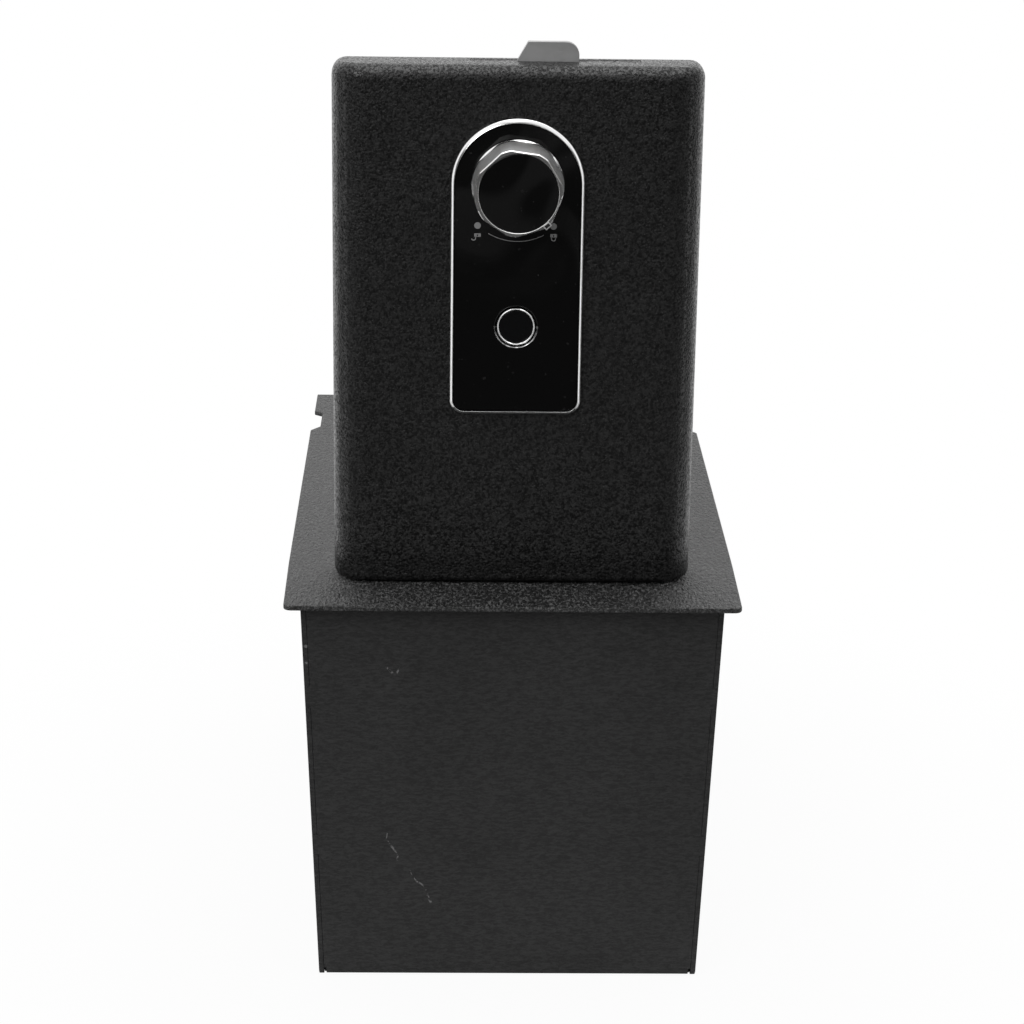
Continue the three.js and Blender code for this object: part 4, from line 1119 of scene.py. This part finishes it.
# The solenoid. Enamelled copper wire wound on a plastic bobbin in a bent steel frame, with a turned
# plunger, fed by a thin rubber lead from the battery case.
coil_back = -0.0392
coil_front = -0.0242
coil_axis_height = 0.0105
bobbin_radius = 0.0042
bobbin_bore = 0.0023
bobbin_sides = 48
flange_radius = 0.0054
flange_thickness = 0.0009
wire_radius = 0.00021
wire_sides = 6
coil_layers = 2
layer_rise = 1.8 * wire_radius
turn_steps = 20


def across_lid(x, radius, angle):
    """A point around the solenoid's axis, which lies across the lid at the knob's place."""
    along = knob_place + radius * math.cos(angle)
    return on_lid(x, along, coil_axis_height + radius * math.sin(angle))


def bobbin():
    profile = [
        (coil_back, bobbin_bore),
        (coil_back, flange_radius),
        (coil_back + flange_thickness, flange_radius),
        (coil_back + flange_thickness, bobbin_radius),
        (coil_front - flange_thickness, bobbin_radius),
        (coil_front - flange_thickness, flange_radius),
        (coil_front, flange_radius),
        (coil_front, bobbin_bore),
    ]
    angles = [2.0 * math.pi * step / bobbin_sides for step in range(bobbin_sides)]
    return loft("solenoid_bobbin", [[across_lid(x, radius, a) for a in angles] for x, radius in profile])


def winding():
    """Wire in layers, one helix that runs forth and the next back, swept with a six-sided section."""
    room = coil_front - coil_back - 2 * flange_thickness - 2 * wire_radius
    steps = int(room / (2 * wire_radius)) * turn_steps
    leans = [2.0 * math.pi * side / wire_sides for side in range(wire_sides)]
    form = bmesh.new()
    for layer in range(coil_layers):
        reach = bobbin_radius + wire_radius + layer * layer_rise
        loops = []
        for step in range(steps + 1):
            share = step / steps if layer % 2 == 0 else 1.0 - step / steps
            x = coil_back + flange_thickness + wire_radius + room * share
            angle = 2.0 * math.pi * step / turn_steps
            wire = [(x + wire_radius * math.sin(a), reach + wire_radius * math.cos(a)) for a in leans]
            loops.append([across_lid(aside, out, angle) for aside, out in wire])
        skin(form, loops)
    return solid("solenoid_winding", form)


def copper_finish():
    material, start = new_surface("enamelled_copper")
    drawn = noise(start, on_object(start, (1.0, 0.3, 0.3)), 900.0, detail=2.0)
    glow = noise(start, on_object(start), 200.0, detail=2.0)
    bright = (0.55, 0.20, 0.075, 1.0)
    deep = (0.30, 0.09, 0.035, 1.0)
    inputs = {
        "Base Color": blend(start, glow.rise(0.35, 0.7), bright, deep),
        "Metallic": 0.9,
        "Roughness": 0.26 + 0.12 * drawn,
        "Normal": bump(start, drawn, distance=0.00002, strength=0.4),
        "Coat Weight": 0.6,
    }
    finish(start, inputs)
    return material


add_piece(round_edges(bobbin(), edge=0.00012), matt, "lid")
wire = add_piece(winding(), copper_finish(), "lid")
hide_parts("solenoid_coil")
dress("solenoid_frame", zinc, edge=0.0002)
dress("solenoid_plunger", zinc, edge=0.0002, segments=3)
dress("solenoid_lead", rubber, edge=0.00008)


# The battery case. A moulded case screwed behind the lock, with its board, three printed cells with
# bare steel ends between spring contacts, and a ribbed cover that slides off towards the hinge.
label_foot = 0.2450
label_change = 0.2562
label_top = 0.2874
label_edge = 0.0002


def board_finish():
    material, start = new_surface("solder_mask")
    track_place = on_object(start, (1.0, 1.0, 0.45))
    tracks = noise(start, track_place, 420.0, detail=0.0, roughness=0.5, distortion=3.0)
    lines = tracks.rise(0.47, 0.49) * (1.0 - tracks.rise(0.52, 0.54))
    weave = noise(start, on_object(start), 1600.0, detail=2.0)
    mask = blend(start, weave, (0.010, 0.060, 0.024, 1.0), (0.016, 0.085, 0.034, 1.0))
    colour = blend(start, 0.7 * lines, mask, (0.035, 0.17, 0.07, 1.0))
    rough = 0.35 + 0.2 * (weave - 0.5)
    normal = bump(start, lines + 0.1 * weave, distance=0.00005, strength=0.6)
    finish(start, {"Base Color": colour, "Roughness": rough, "Normal": normal})
    return material


def cell_finish():
    """A pale wrap with a dark lower end, between bare steel ends."""
    material, start = new_surface("cell_wrap")
    height = on_object(start).axis("Z")
    scuffs = noise(start, on_object(start, (1.0, 1.0, 0.3)), 260.0, detail=3.0)
    lower = 1.0 - height.rise(label_change - label_edge, label_change + label_edge)
    below_top = 1.0 - height.rise(label_top - label_edge, label_top + label_edge)
    wrapped = height.rise(label_foot - label_edge, label_foot + label_edge) * below_top
    wrap = blend(start, lower, shade(0.34, (1.0, 1.0, 1.02)), shade(0.03))
    rubbed = blend(start, 0.3 * scuffs.rise(0.55, 0.75), wrap, shade(0.5))
    inputs = {
        "Base Color": blend(start, wrapped, shade(0.6), rubbed),
        "Metallic": 1.0 - 0.8 * wrapped,
        "Roughness": 0.28 + 0.2 * scuffs,
        "Normal": bump(start, scuffs, distance=0.00004, strength=0.4),
    }
    finish(start, inputs)
    return material


dress("battery_case", matt, edge=0.0003)
dress("battery_cover", matt, edge=0.00025)
dress("circuit_board", board_finish(), edge=0.0001)
cell = cell_finish()
for number in range(1, 4):
    dress(f"battery_{number}", cell, edge=0.0003, segments=3)
for name in ("contact_lower", "contact_upper"):
    dress(name, zinc, edge=0.0001)
